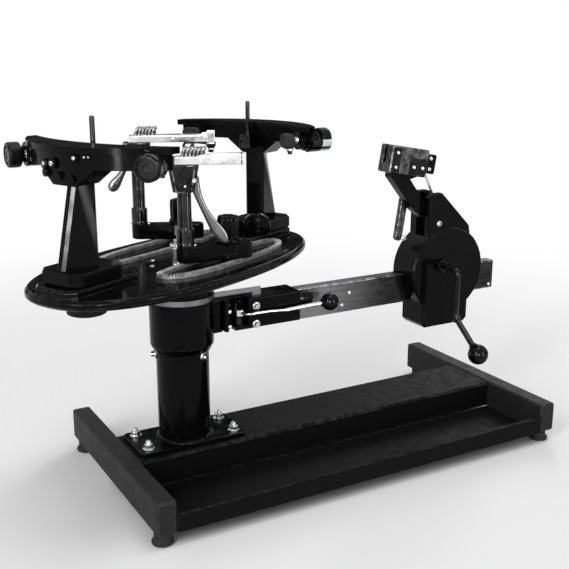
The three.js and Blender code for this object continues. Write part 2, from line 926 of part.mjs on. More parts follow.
function lockWheel() {
  const top = tableBottom - gap;
  const collarLow = top - wheelCollarHeight;
  const low = collarLow - wheelHeight;
  return turned([
    [0, low], [wheelRadius - wheelEdge, low], [wheelRadius, low + wheelEdge],
    [wheelRadius, collarLow - wheelEdge], [wheelRadius - wheelEdge, collarLow],
    [wheelCollarRadius, collarLow], [wheelCollarRadius, top], [wheelStemRadius, top],
    [wheelStemRadius, towerBottom + wheelStemBite], [0, towerBottom + wheelStemBite],
  ], midSides).translate(towerPosition, 0, 0);
}

function centreSupport() {
  const half = supportSize / 2;
  const low = supportZ - supportHeight / 2;
  const high = supportZ + supportHeight / 2;
  const cube = raised(chamfered(
    supportX - half, supportX + half, -half, half, supportEdge,
  ), low, high, supportEdge);
  const stem = rod(supportStemRadius, supportX, supportStemEnd, smallSides).rotateY(Math.PI / 2);
  stem.translate(0, 0, supportZ);
  const pinTop = headTop + supportPinTop;
  const pin = turned([
    [0, supportZ], [supportPinRadius, supportZ], [supportPinRadius, pinTop - supportPinTip],
    [supportPinRadius - supportPinTip, pinTop], [0, pinTop],
  ], smallSides).translate(supportX, 0, 0);
  return join(cube, stem, pin);
}

// Knob and screw made along X, the knob on the outside
function shoulderKnob(side) {
  const form = turned([
    [0, -shoulderKnobLength], [shoulderKnobRadius - shoulderKnobEdge, -shoulderKnobLength],
    [shoulderKnobRadius, shoulderKnobEdge - shoulderKnobLength],
    [shoulderKnobRadius, -shoulderKnobEdge], [shoulderKnobRadius - shoulderKnobEdge, 0],
    [shoulderKnobNeckRadius, 0], [shoulderKnobNeckRadius, shoulderKnobNeck],
    [shoulderScrewRadius, shoulderKnobNeck], [shoulderScrewRadius, shoulderScrewLength],
    [0, shoulderScrewLength],
  ], midSides);
  return onShoulder(form.rotateY(Math.PI / 2), side);
}

function shoulderPad(side) {
  const back = shoulderScrewLength - shoulderPadBore + gap;
  const half = shoulderPadWidth / 2;
  const pad = alongX(chamfered(
    -half, half, -shoulderPadHeight / 2, shoulderPadHeight / 2, shoulderPadCorner,
  ), back, back + shoulderPadThickness + shoulderPadBore);
  const recess = block(
    back + shoulderPadThickness + gap, back + shoulderPadThickness + shoulderPadBore + overrun,
    -half - overrun, half / 2, -shoulderPadHeight, shoulderPadHeight,
  );
  const bore = rod(shoulderScrewRadius + gap, 0, shoulderScrewLength + gap, smallSides);
  const form = cut(solid(pad), recess, bore.rotateY(Math.PI / 2));
  return onShoulder(geometryOf(form), side);
}

// Clamp pieces: the lock bolt is at the frame origin and X runs from the bolt to the post
function clampShoe() {
  const low = tableTop + gap;
  const half = shoeSize / 2;
  const pad = raised(chamfered(-half, half, -half, half, clampBoltRadius), low, low + shoeHeight);
  const bolt = rod(clampBoltRadius, low, clampBaseTop + clampBoltBite, smallSides);
  return join(pad, bolt);
}

function clampBase() {
  const half = clampBaseWidth / 2;
  const outline = [];
  const steps = 8;
  for (let i = 0; i <= steps; i += 1) {
    const angle = Math.PI * (i / steps - 0.5);
    outline.push([clampPostOffset + half * Math.cos(angle), half * Math.sin(angle)]);
  }
  for (let i = 0; i <= steps; i += 1) {
    const angle = Math.PI * (i / steps + 0.5);
    outline.push([half * Math.cos(angle) - clampTailOffset, half * Math.sin(angle)]);
  }
  const bar = raised(outline, clampBaseBottom, clampBaseTop, clampBaseEdge);
  const boss = rod(clampBossRadius, clampBaseBottom, clampBaseTop, midSides);
  const bore = rod(
    clampBoltRadius + gap, clampBaseBottom - overrun, clampBaseTop + overrun, smallSides,
  );
  return cut(join(bar, boss), bore);
}

function lockKnob() {
  const low = clampBaseTop + gap;
  const count = lockKnobLobes * 4;
  const outline = Array.from({ length: count }, (_, i) => {
    const angle = 2 * Math.PI * i / count;
    const radius = lockKnobRadius - lockKnobFlute * (0.5 - 0.5 * Math.cos(lockKnobLobes * angle));
    return [radius * Math.cos(angle), radius * Math.sin(angle)];
  });
  const grip = raised(outline, low + lockKnobSkirt / 2, low + lockKnobHeight, lockKnobEdge);
  const skirt = rod(lockKnobRadius + lockKnobEdge, low, low + lockKnobSkirt, midSides);
  const bore = rod(clampBoltRadius + gap, low - overrun, clampBaseTop + clampBoltBite + gap, smallSides);
  return cut(join(grip, skirt), bore);
}

// Post on its collar, with the spigot that the head turns on
function clampPost(height) {
  const top = postBottom + height;
  return turned([
    [0, postBottom], [postCollarRadius, postBottom],
    [postCollarRadius, postBottom + postCollarHeight],
    [postRadius, postBottom + postCollarHeight + postCollarTaper], [postRadius, top],
    [postSpigotRadius, top], [postSpigotRadius, top + postSpigotLength], [0, top + postSpigotLength],
  ], midSides);
}

// Head, jaws and lever stand on the plane z = 0 at the head's underside
function clampHead(leverSide) {
  const body = loft(
    chamfered(
      -clampHeadBottomLength / 2, clampHeadBottomLength / 2,
      -clampHeadBottomWidth / 2, clampHeadBottomWidth / 2, clampHeadCorner,
    ), 0,
    chamfered(
      -clampHeadTopLength / 2, clampHeadTopLength / 2,
      -clampHeadTopWidth / 2, clampHeadTopWidth / 2, clampHeadCorner,
    ), clampHeadHeight,
  );
  const bore = rod(postSpigotRadius + gap, -overrun, postSpigotLength, smallSides);
  const slotHalf = leverThickness / 2 + leverPlay;
  const slotStart = leverPivotReach - leverRootRadius - leverPlay;
  const slot = block(
    slotStart, clampHeadTopLength, -slotHalf, slotHalf,
    -overrun, leverPivotHeight + leverRootRadius + leverPlay,
  );
  if (leverSide < 0) slot.rotateZ(Math.PI);
  return cut(solid(body), bore, slot);
}

function jaw(side) {
  const near = jawOpening / 2;
  const far = near + jawThickness;
  const top = jawBottom + jawHeight;
  const bar = alongY([
    [-jawFront, jawBottom + jawNoseCut], [jawNoseCut - jawFront, jawBottom],
    [jawRear, jawBottom], [jawRear, top], [-jawFront, top],
  ], near, far);
  const parts = [bar];
  for (let i = 0; i < clawCount; i += 1) {
    const foot = -jawFront + clawPitch * i;
    parts.push(alongY([
      [foot + clawLean, top - clawThickness], [foot + clawLean + clawThickness, top - clawThickness],
      [foot + clawThickness, top + clawHeight * clawShoulderShare],
      [foot + clawThickness, top + clawHeight],
      [foot + clawThickness * clawTipShare, top + clawHeight],
      [foot, top + clawHeight * clawShoulderShare],
    ], near, near + clawWidth));
  }
  if (side > 0) {
    parts.push(block(
      jawRear - jawNoseCut / 2, jawRear + jawBlockLength, near, far + jawBlockExtra,
      jawBottom - jawBlockExtra, top + jawBlockExtra,
    ));
    const screw = rod(jawScrewRadius, jawBottom - jawScrewLength, jawBottom, smallSides);
    parts.push(screw.translate(jawRear + jawBlockLength / 2, (near + far) / 2, 0));
  }
  const form = geometryOf(join(...parts));
  return side > 0 ? form : form.applyMatrix4(new THREE.Matrix4().makeScale(1, -1, 1));
}

// Curved clamp lever in X and Z with its root at the pivot
function clampLever(leverSide, drop, spread) {
  const steps = 8;
  const left = [];
  const right = [];
  for (let i = 0; i <= steps; i += 1) {
    const t = i / steps;
    const width = leverRootWidth + (leverTipWidth - leverRootWidth) * t;
    const x = leverPivotReach + spread * t ** leverCurveShare;
    const z = leverPivotHeight - drop * t;
    const slope = spread * leverCurveShare * t ** (leverCurveShare - 1);
    const length = Math.hypot(slope, drop);
    const nx = drop / length * width / 2;
    const nz = slope / length * width / 2;
    left.push([x - nx, z - nz]);
    right.push([x + nx, z + nz]);
  }
  const tip = [
    leverPivotReach + spread + leverTipWidth * leverTipAcrossShare,
    leverPivotHeight - drop - leverTipWidth * leverTipDownShare,
  ];
  const outline = [...left, tip, ...right.reverse()];
  const blade = alongY(outline, -leverThickness / 2, leverThickness / 2);
  const root = rod(leverRootRadius, -leverThickness / 2, leverThickness / 2, midSides);
  root.rotateX(Math.PI / 2).translate(leverPivotReach, 0, leverPivotHeight);
  const form = geometryOf(join(blade, root));
  return leverSide > 0 ? form : form.rotateZ(Math.PI);
}

// Tension head housing: drum, lower box and sloping neck on the rail
function housing() {
  const x = headPosition;
  const drum = alongY(
    circle(drumRadius, bigSides, x, drumCentreHeight), -housingFront, housingRear, housingEdge,
  );
  const boxLeft = x + boxOffset - boxHalfWidth;
  const boxRight = x + boxOffset + boxHalfWidth;
  const box = alongY(
    chamfered(
      boxLeft, boxRight, drumCentreHeight - boxDrop, drumCentreHeight - boxTopDrop, boxCorner,
    ),
    -housingFront, housingRear, housingEdge,
  );
  const neck = alongY([
    [x + neckLeft, drumCentreHeight + neckBottomRise],
    [x + neckRight, drumCentreHeight + neckBottomRise],
    [x + neckRight, drumCentreHeight + neckShoulderRise],
    [x + neckRight - housingEdge, drumCentreHeight + neckSlopeFoot],
    [x + neckSlopeTop, neckTopHeight], [x + neckLeft + boxCorner, neckTopHeight],
    [x + neckLeft, neckTopHeight - boxCorner],
  ], -housingNeckFront, housingRear, housingEdge);
  const railSlot = block(
    x - 2 * drumRadius, x + 2 * drumRadius,
    -railThickness / 2 - railPlay, railThickness / 2 + railPlay,
    railCentreHeight - railHeight / 2 - railPlay, railCentreHeight + railHeight / 2 + railPlay,
  );
  const armSlot = block(
    x + neckLeft - overrun, x + armSlotRight,
    armPlane - armSlotWidth / 2, armPlane + armSlotWidth / 2,
    drumCentreHeight + armSlotRise, neckTopHeight + overrun,
  );
  const pinX = x + armPivotOffset;
  const pin = rod(armPinRadius, armPlane - armSlotWidth, armPlane + armSlotWidth, midSides);
  pin.rotateX(-Math.PI / 2).translate(pinX, 0, armPivotHeight);
  const crankBore = rod(
    crankRodRadius + gap, housingFront - crankShaftBite - gap, 2 * housingFront, smallSides,
  );
  crankBore.rotateX(Math.PI / 2).translate(x + crankOffset, 0, drumCentreHeight + crankRise);
  const slotted = cut(join(drum, box, neck), railSlot, armSlot, crankBore);
  return slotted.add(solid(pin));
}

// Crank made in its own frame: the shaft along -Y, the arm down, the handle slanting outward
function crank() {
  const reach = -housingFront - crankShaftReach;
  const handleFoot = [0, reach, -crankArmLength];
  const bar = bentRod([
    [0, crankShaftBite - housingFront, 0], [0, reach, 0], handleFoot,
    [0, reach - crankHandleOut, -crankArmLength - crankHandleDrop],
  ], crankBend, crankRodRadius, rodSides);
  const collarLow = housingFront + gap;
  const collar = rod(crankCollarRadius, collarLow, collarLow + crankCollarLength, midSides);
  return join(bar, collar.rotateX(Math.PI / 2));
}

function crankBall() {
  const reach = -housingFront - crankShaftReach;
  const end = new THREE.Vector3(0, reach - crankHandleOut, -crankArmLength - crankHandleDrop);
  const direction = new THREE.Vector3(0, -crankHandleOut, -crankHandleDrop).normalize();
  const centre = end.clone().addScaledVector(direction, crankBallRadius - crankBallBite);
  const ball = new THREE.SphereGeometry(crankBallRadius, ballSides, smallSides);
  const hole = rod(crankRodRadius + gap, -crankBallRadius * 2, gap, smallSides);
  hole.applyQuaternion(new THREE.Quaternion().setFromUnitVectors(new THREE.Vector3(0, 0, 1), direction));
  ball.translate(...centre);
  return cut(solid(ball), hole.translate(...end));
}

// Tension arm from its pivot in the neck up to the gripper
function gripFrame(geometry) {
  geometry.rotateY(gripTilt * radians);
  return geometry.translate(headPosition + gripOffset, armPlane, gripCentreHeight);
}

function gripBottomPoint(along, below) {
  const angle = gripTilt * radians;
  return [
    headPosition + gripOffset + along * Math.cos(angle) - below * Math.sin(angle),
    gripCentreHeight - along * Math.sin(angle) - below * Math.cos(angle),
  ];
}

function tensionArm() {
  const pivotX = headPosition + armPivotOffset;
  const seat = gripHeight / 2 + gap;
  const outline = [
    gripBottomPoint(-armTopHalf, seat), gripBottomPoint(-armTopHalf, seat + armTopBite),
    [headPosition + armElbowOffset, armPivotHeight + armElbowRise],
    [pivotX - armPivotRadius, armPivotHeight], [pivotX + armPivotRadius, armPivotHeight],
    [headPosition + armShoulderOffset, armPivotHeight + armShoulderRise],
    gripBottomPoint(armTopHalf / 2, seat + armTopBite), gripBottomPoint(armTopHalf, seat),
  ];
  const y0 = armPlane - armThickness / 2;
  const y1 = armPlane + armThickness / 2;
  const plate = alongY(outline, y0, y1);
  const knuckle = alongY(circle(armPivotRadius, midSides, pivotX, armPivotHeight), y0, y1);
  const bore = alongY(
    circle(armPinRadius + gap, midSides, pivotX, armPivotHeight), y0 - overrun, y1 + overrun,
  );
  const releaseBore = alongY(
    circle(releasePinRadius + gap, smallSides, headPosition + releaseTopOffset + releaseWidth / 2,
      armPivotHeight + releaseTopRise + releaseWidth),
    y1 - releasePinLength - gap, y1 + overrun,
  );
  return cut(join(plate, knuckle), bore, releaseBore);
}

// Turns a form made along Z onto the tension rod's axis, its origin under the gripper's end
function rodFrame(geometry) {
  const [x, z] = gripBottomPoint(
    gripLength / 2 + gripEndLength - tensionRodInset, gripEndHeight - gripHeight / 2 + gripEndDrop,
  );
  return geometry.rotateY(-tensionRodAngleDegrees * radians).translate(x, armPlane, z);
}

function gripper() {
  const half = gripLength / 2;
  const bodyBlock = raised(chamfered(
    -half, half, -gripDepth / 2, gripDepth / 2, gripEdge,
  ), -gripHeight / 2, gripHeight / 2, gripEdge);
  const endTop = gripHeight / 2 - gripEndDrop;
  const end = raised(chamfered(
    half - gripEndLength, half + gripEndLength, -gripEndDepth / 2, gripEndDepth / 2, gripEdge,
  ), endTop - gripEndHeight, endTop, gripEdge);
  const slot = block(
    -half - gripEndLength, half + 2 * gripEndLength, -gripSlotWidth / 2 + gripFixedJaw, gripSlotWidth / 2,
    gripHeight / 2 - gripSlotDepth, gripHeight,
  );
  const rodHole = rod(tensionRodRadius + gap, -tensionRodLength, tensionRodSeat + gap, smallSides);
  const body = gripFrame(geometryOf(cut(join(bodyBlock, end), slot)));
  return cut(solid(body), rodFrame(rodHole));
}

function gripperJaw() {
  const back = gripSlotWidth / 2 - gap;
  const low = gripHeight / 2 - gripSlotDepth + gap;
  const plate = block(
    -gripJawLength / 2, gripJawLength / 2, back - gripJawThickness, back, low, low + gripJawHeight,
  );
  return gripFrame(plate);
}

function tensionRod() {
  return rodFrame(rod(tensionRodRadius, -tensionRodLength, tensionRodSeat, smallSides));
}

function releaseLever() {
  const x = headPosition + releaseTopOffset + releaseWidth / 2;
  const z = armPivotHeight + releaseTopRise + releaseWidth;
  const y0 = armPlane + armThickness / 2 + gap;
  const bar = alongY(chamfered(
    -releaseWidth / 2, releaseWidth / 2, -releaseLength - releaseWidth, releaseWidth / 2, releaseEnd,
  ), y0, y0 + releaseThickness);
  bar.rotateY(releaseTiltDegrees * radians);
  const pin = alongY(
    circle(releasePinRadius, smallSides), y0 - releasePinLength, y0 + releaseThickness / 2,
  );
  return geometryOf(join(bar, pin)).translate(x, 0, z);
}

// Assembly
const machine = new THREE.Group();

const leftLegX = -columnInset;
const rightLegX = legSpacing - columnInset;
for (const [side, x] of [['left', leftLegX], ['right', rightLegX]]) {
  const bar = piece(`leg_${side}`, leg(), powderBlack);
  bar.position.x = x;
  machine.add(bar);
  for (const [end, y] of [['front', footInset - legLength / 2], ['rear', legLength / 2 - footInset]]) {
    const pad = piece(`foot_${end}_${side}`, foot(), rubber);
    pad.position.set(x, y, 0);
    machine.add(pad);
  }
}
machine.add(piece('beam', beam(leftLegX + legWidth / 2, rightLegX - legWidth / 2), powderBlack));
machine.add(piece('tool_tray', tray(leftLegX + legWidth / 2, rightLegX - legWidth / 2), powderBlack));
machine.add(piece('column', column(), glossBlack));
machine.add(piece('hub_sleeve', sleeve(), glossBlack));
machine.add(piece('rail_bracket', bracket(), glossBlack));
machine.add(piece('tension_rail', rail(), brushedSteel));
machine.add(piece('rail_bumper', bumper(), rubber));
machine.add(piece('brake_band', brakeBand(), brushedSteel));
machine.add(piece('brake_bolt', brakeBolt(), chrome));

const brake = new THREE.Group();
brake.position.set(brakeBoltX, brakeBoltY, 0);
brake.add(piece('brake_lever', brakeLever(), chrome));
brake.add(piece('brake_ball', brakeBall(), phenolic));
machine.add(brake);

const table = new THREE.Group();
table.rotation.z = tableAngleDegrees * radians;
table.add(piece('turntable', turntable(), glossBlack));
table.add(piece('centre_bolt', centreBolt(), chrome));
table.add(piece('clamp_track_near', track(-1), brightAlloy));
table.add(piece('clamp_track_far', track(1), brightAlloy));

for (const [side, turnAngle] of [['right', 0], ['left', Math.PI]]) {
  const group = new THREE.Group();
  group.rotation.z = turnAngle;
  if (side === 'left') group.position.x = towerLeftInset;
  group.add(piece(`tower_${side}`, tower(), glossBlack));
  group.add(piece(`lock_wheel_${side}`, lockWheel(), phenolic));
  group.add(piece(`centre_support_${side}`, centreSupport(), darkSteel));
  for (const [mark, sign] of [['a', 1], ['b', -1]]) {
    group.add(piece(`shoulder_knob_${side}_${mark}`, shoulderKnob(sign), phenolic));
    group.add(piece(`shoulder_pad_${side}_${mark}`, shoulderPad(sign), rubber));
  }
  table.add(group);
}

// Each clamp: place of its lock bolt, directions of base and jaws, post height and lever
const clamps = [{
  side: 'near',
  along: nearBoltAlong,
  across: nearBoltAcross,
  base: nearBaseDegrees * radians,
  head: nearHeadDegrees * radians,
  height: postHeightNear,
  lever: clampLever(1, leverDropNear, leverSpreadNear),
  leverSide: 1,
}, {
  side: 'far',
  along: farBoltAlong,
  across: farBoltAcross,
  base: farBaseDegrees * radians,
  head: farHeadDegrees * radians,
  height: postHeightFar,
  lever: clampLever(-1, leverDropFar, leverSpreadFar),
  leverSide: -1,
}];
for (const clamp of clamps) {
  const base = new THREE.Group();
  base.position.set(clamp.along, clamp.across, 0);
  base.rotation.z = clamp.base;
  base.add(piece(`clamp_base_${clamp.side}`, clampBase(), glossBlack));
  base.add(piece(`lock_knob_${clamp.side}`, lockKnob(), phenolic));
  const shoe = piece(`clamp_shoe_${clamp.side}`, clampShoe(), darkSteel);
  shoe.rotation.z = -clamp.base;
  base.add(shoe);
  const post = piece(`clamp_post_${clamp.side}`, clampPost(clamp.height), darkSteel);
  post.position.x = clampPostOffset;
  base.add(post);
  const head = new THREE.Group();
  head.position.set(clampPostOffset, 0, postBottom + clamp.height + gap);
  head.rotation.z = clamp.head - clamp.base;
  head.add(piece(`clamp_head_${clamp.side}`, clampHead(clamp.leverSide), glossBlack));
  head.add(piece(`jaw_fixed_${clamp.side}`, jaw(1), brightAlloy));
  head.add(piece(`jaw_moving_${clamp.side}`, jaw(-1), brightAlloy));
  head.add(piece(`clamp_lever_${clamp.side}`, clamp.lever, darkSteel));
  base.add(head);
  table.add(base);
}
machine.add(table);

machine.add(piece('head_housing', housing(), glossBlack));
const crankGroup = new THREE.Group();
crankGroup.position.set(headPosition + crankOffset, 0, drumCentreHeight + crankRise);
crankGroup.add(piece('crank', crank(), darkSteel));
crankGroup.add(piece('crank_ball', crankBall(), phenolic));
machine.add(crankGroup);
machine.add(piece('tension_arm', tensionArm(), glossBlack));
machine.add(piece('gripper_body', gripper(), darkSteel));
machine.add(piece('gripper_jaw', gripperJaw(), brushedSteel));
machine.add(piece('tension_rod', tensionRod(), chrome));
machine.add(piece('release_lever', releaseLever(), darkSteel));

// The part's frame: origin at floor level under the middle of its bounding box
machine.updateMatrixWorld(true);
const bounds = new THREE.Box3().setFromObject(machine, true);
machine.position.x = -(bounds.min.x + bounds.max.x) / 2;
machine.position.y = -(bounds.min.y + bounds.max.y) / 2;

export default machine;
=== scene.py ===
from math import atan2, cos, hypot, pi, radians, sin

import bmesh
import bpy
from mathutils import Matrix, Vector


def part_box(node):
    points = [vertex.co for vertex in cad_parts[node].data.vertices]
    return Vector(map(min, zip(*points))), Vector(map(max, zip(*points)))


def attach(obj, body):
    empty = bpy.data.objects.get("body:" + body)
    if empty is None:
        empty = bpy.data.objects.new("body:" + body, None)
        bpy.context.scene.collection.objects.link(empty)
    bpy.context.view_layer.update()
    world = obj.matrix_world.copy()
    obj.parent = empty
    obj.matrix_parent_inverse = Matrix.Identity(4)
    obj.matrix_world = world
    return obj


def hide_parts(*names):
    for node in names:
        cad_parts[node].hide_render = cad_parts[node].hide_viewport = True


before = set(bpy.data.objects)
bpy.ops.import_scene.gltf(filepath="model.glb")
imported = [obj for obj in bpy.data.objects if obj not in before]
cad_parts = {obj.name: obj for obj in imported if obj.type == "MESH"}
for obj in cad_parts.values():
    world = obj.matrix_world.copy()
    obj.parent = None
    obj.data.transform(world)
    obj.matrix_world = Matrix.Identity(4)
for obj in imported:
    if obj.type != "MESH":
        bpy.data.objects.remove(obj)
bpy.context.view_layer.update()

# Camera. It stands in front of the machine's left half, a little above the turntable, and
# looks slightly down, as the photograph was taken.
camera_lens = bpy.data.cameras.new("photograph_camera")
camera_lens.sensor_width = 36
camera_lens.lens = 57.76
camera_lens.clip_start = 0.05
camera_lens.clip_end = 200
camera = bpy.data.objects.new("photograph_camera", camera_lens)
camera.location = (-0.704245, -1.249192, 0.67811)
camera.rotation_euler = (radians(74.98), 0, radians(-29.42))
bpy.context.scene.collection.objects.link(camera)
bpy.context.scene.camera = camera
bpy.context.scene.view_settings.view_transform = "Standard"

# Studio. A pale paper floor fades into a white surround. A tall soft box stands on the left and
# another behind, and a broad one hangs above. Three strips only give gloss lines, and two black
# cards, which the camera doesn't see, keep the flat faces of the black castings dark.
floor_form = bmesh.new()
bmesh.ops.create_circle(floor_form, cap_ends=True, segments=64, radius=30)
floor_mesh = bpy.data.meshes.new("paper_floor")
floor_form.to_mesh(floor_mesh)
floor_form.free()
paper_floor = bpy.data.objects.new("paper_floor", floor_mesh)
bpy.context.scene.collection.objects.link(paper_floor)


def node(tree, kind, inputs, **settings):
    # Adds a shader node. Each input, by name or number, is a value or another node's output
    made = tree.nodes.new(f"ShaderNode{kind}")
    for name, setting in settings.items():
        setattr(made, name, setting)
    for name, source in inputs.items():
        if isinstance(source, bpy.types.NodeSocket):
            tree.links.new(source, made.inputs[name])
        else:
            made.inputs[name].default_value = source
    return made


def seen_directly(tree):
    # Is 1 where the camera sees the surface itself, or sees it mirrored or through glass
    rays = node(tree, "LightPath", {})
    seen = rays.outputs["Is Camera Ray"]
    for kind in ("Is Glossy Ray", "Is Transmission Ray"):
        both = {0: seen, 1: rays.outputs[kind]}
        seen = node(tree, "Math", both, operation="ADD", use_clamp=True).outputs[0]
    return seen


def outshone(tree, share, plain, bright, output):
    # Puts the bright shader in the plain one's place by that share
    mix = node(tree, "MixShader", {0: share, 1: plain.outputs[0], 2: bright.outputs[0]})
    tree.links.new(mix.outputs[0], tree.nodes[output].inputs["Surface"])


paper = bpy.data.materials.new("white_paper")
paper.use_nodes = True
paper_tree = paper.node_tree
paper_shader = paper_tree.nodes["Principled BSDF"]
paper_shader.inputs["Base Color"].default_value = (0.93, 0.93, 0.93, 1)
paper_shader.inputs["Roughness"].default_value = 1
paper_shader.inputs["Specular IOR Level"].default_value = 0
paper_glow = node(paper_tree, "Emission", {"Color": (1, 1, 1, 1)})
paper_place = node(paper_tree, "TexCoord", {})
paper_distance = node(
    paper_tree, "VectorMath", {0: paper_place.outputs["Object"]}, operation="LENGTH",
)
paper_fade = node(paper_tree, "MapRange", {
    "Value": paper_distance.outputs["Value"], "From Min": 0.5, "From Max": 1.9,
}, interpolation_type="SMOOTHSTEP")
paper_share = node(
    paper_tree, "Math", {0: paper_fade.outputs["Result"], 1: seen_directly(paper_tree)},
    operation="MULTIPLY",
)
outshone(paper_tree, paper_share.outputs[0], paper_shader, paper_glow, "Material Output")
floor_mesh.materials.append(paper)

surround = bpy.data.worlds.new("white_surround")
bpy.context.scene.world = surround
surround.use_nodes = True
surround_tree = surround.node_tree
surround_fill = surround_tree.nodes["Background"]
surround_fill.inputs["Color"].default_value = (1, 1, 1, 1)
surround_fill.inputs["Strength"].default_value = 0.5
surround_white = node(surround_tree, "Background", {"Color": (1, 1, 1, 1), "Strength": 1})
outshone(
    surround_tree, seen_directly(surround_tree), surround_fill, surround_white, "World Output",
)


def soft_box(name, place, width, height, watts):
    # A soft box that looks at the machine's middle
    lamp = bpy.data.lights.new(name, "AREA")
    lamp.shape = "RECTANGLE"
    lamp.size = width
    lamp.size_y = height
    lamp.energy = watts
    box = bpy.data.objects.new(name, lamp)
    box.location = place
    box.rotation_euler = (Vector(place) - Vector((0, 0, 0.3))).to_track_quat("Z", "Y").to_euler()
    bpy.context.scene.collection.objects.link(box)
    return box


soft_box("left_soft_box", (-2.3, -1.3, 1.7), 0.32, 1.7, 30)
soft_box("top_soft_box", (0.3, -0.4, 2.8), 1.3, 0.6, 18)
soft_box("rear_soft_box", (2.0, 1.7, 1.8), 0.3, 1.5, 14)
for name, place, height, watts in (
    ("left_gloss_strip", (-2.4, -2.0, 0.8), 1.5, 30),
    ("right_gloss_strip", (1.0, -2.1, 0.75), 1.5, 20),
    ("front_gloss_strip", (-1.33, -2.96, 1.06), 0.6, 60),
):
    gloss_strip = soft_box(name, place, 0.3, height, watts)
    gloss_strip.visible_diffuse = False
    gloss_strip.visible_camera = False

card_black = bpy.data.materials.new("black_card")
card_black.use_nodes = True
card_shader = card_black.node_tree.nodes["Principled BSDF"]
card_shader.inputs["Base Color"].default_value = (0.01, 0.01, 0.01, 1)
card_shader.inputs["Roughness"].default_value = 1
for name, place, turn, width, low, high in (
    ("rear_card", (1.15, 2.05, 0), -29.42, 3, 0.6, 1.3),
    ("side_card", (2.7, -0.3, 0), -90, 1.2, 0.02, 0.8),
):
    card_mesh = bpy.data.meshes.new(name)
    corners = [(-width, 0, low), (width, 0, low), (width, 0, high), (-width, 0, high)]
    card_mesh.from_pydata(corners, [], [(0, 1, 2, 3)])
    card_mesh.materials.append(card_black)
    card = bpy.data.objects.new(name, card_mesh)
    card.location = place
    card.rotation_euler = (0, 0, radians(turn))
    card.visible_camera = False
    card.visible_diffuse = False
    card.visible_shadow = False
    bpy.context.scene.collection.objects.link(card)

# Legs. Two rectangular steel tubes lie across the machine's length, closed at their ends.
# They are sawn, welded shut, and powder coated in satin black, painted lighter than the beam's coat
# as painted light on their sides.
millimetres = Matrix.Scale(0.001, 4)


def finish_of(name, metallic, specular):
    finish = bpy.data.materials.new(name)
    finish.use_nodes = True
    shader = finish.node_tree.nodes["Principled BSDF"]
    shader.inputs["Metallic"].default_value = metallic
    shader.inputs["Specular IOR Level"].default_value = specular
    return finish


def grain(finish, size, detail, stretch=(1, 1, 1)):
    # Noise whose spots measure about size, in millimetres, on the piece itself
    tree = finish.node_tree
    place = node(tree, "TexCoord", {})
    mapping = node(tree, "Mapping", {
        "Vector": place.outputs["Object"], "Scale": [share * size * 0.001 for share in stretch],
    }, vector_type="TEXTURE")
    noise = node(tree, "TexNoise", {
        "Vector": mapping.outputs["Vector"], "Scale": 1, "Detail": detail,
    })
    return noise.outputs["Fac"]


def graded(finish, source, low, high, start=0.35, end=0.65):
    # Spreads the noise between two values
    step = node(finish.node_tree, "MapRange", {
        "Value": source, "From Min": start, "From Max": end, "To Min": low, "To Max": high,
    })
    return step.outputs["Result"]


def toned(finish, source, dark, light, start=0.35, end=0.65):
    # Colour that wanders between a dark and a light tone
    ramp = node(finish.node_tree, "ValToRGB", {"Fac": source})
    for stop, place, colour in zip(ramp.color_ramp.elements, (start, end), (dark, light)):
        stop.position = place
        stop.color = (*colour, 1)
    return ramp.outputs["Color"]


def lightened_edges(finish, colour, bare, amount):
    # Lighter colour in noise patches on the rounded edges, by that amount
    tree = finish.node_tree
    edge = node(tree, "Attribute", {}, attribute_name="lightened_edge")
    patch = graded(finish, grain(finish, 9, 4), 0, amount, 0.42, 0.62)
    share = node(tree, "Math", {0: edge.outputs["Fac"], 1: patch}, operation="MULTIPLY")
    mix = node(tree, "MixRGB", {
        "Fac": share.outputs[0], "Color1": colour, "Color2": (*bare, 1),
    })
    return mix.outputs["Color"]


def dressed(finish, colour, roughness, *reliefs):
    # Joins colour, roughness and surface relief, each relief a pair of noise and depth in mm
    tree = finish.node_tree
    shader = tree.nodes["Principled BSDF"].inputs
    tree.links.new(colour, shader["Base Color"])
    tree.links.new(roughness, shader["Roughness"])
    under = {}
    for source, depth in reliefs:
        bump = node(tree, "Bump", {
            "Strength": 1, "Distance": depth * 0.001, "Height": source, **under,
        })
        under = {"Normal": bump.outputs["Normal"]}
    tree.links.new(bump.outputs["Normal"], shader["Normal"])
    return finish


def surfaced(name, metallic, specular, tone, shine, *reliefs, rub=None):
    # A finish of three noises, each with a spot size and a detail. The tone adds two colours,
    # the shine two roughnesses and each relief a depth. Rub is the lighter edge colour and its
    # amount.
    finish = finish_of(name, metallic, specular)
    size, detail, dark, light, *span = tone
    colour = toned(finish, grain(finish, size, detail), dark, light, *span)
    if rub:
        colour = lightened_edges(finish, colour, *rub)
    size, detail, low, high = shine
    roughness = graded(finish, grain(finish, size, detail), low, high)
    bumps = [
        (grain(finish, size, detail, *stretch), depth) for size, detail, depth, *stretch in reliefs
    ]
    return dressed(finish, colour, roughness, *bumps)


def powder_coat(name, dark, light, specular):
    # A finely pebbled coat between two greys, rubbed through at the edges
    return surfaced(
        name, 0, specular, (4.5, 5, (dark,) * 3, (light,) * 3, 0.25, 0.75), (14, 4, 0.46, 0.6),
        (1.3, 2, 0.02), rub=((0.07, 0.07, 0.07), 0.5),
    )


def merged_copy(node):
    # A CAD node's mesh with its flat faces made whole
    form = bmesh.new()
    form.from_mesh(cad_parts[node].data)
    bmesh.ops.remove_doubles(form, verts=form.verts[:], dist=1e-5)
    bmesh.ops.dissolve_limit(
        form, angle_limit=radians(0.6), use_dissolve_boundaries=False,
        verts=form.verts[:], edges=form.edges[:],
    )
    return form


def rounded_copy(node, rounding, segments=2, sharper=25):
    # A merged copy of a CAD node, its sharp edges rounded by so many millimetres
    return softened(merged_copy(node), rounding * 0.001, segments, sharper)


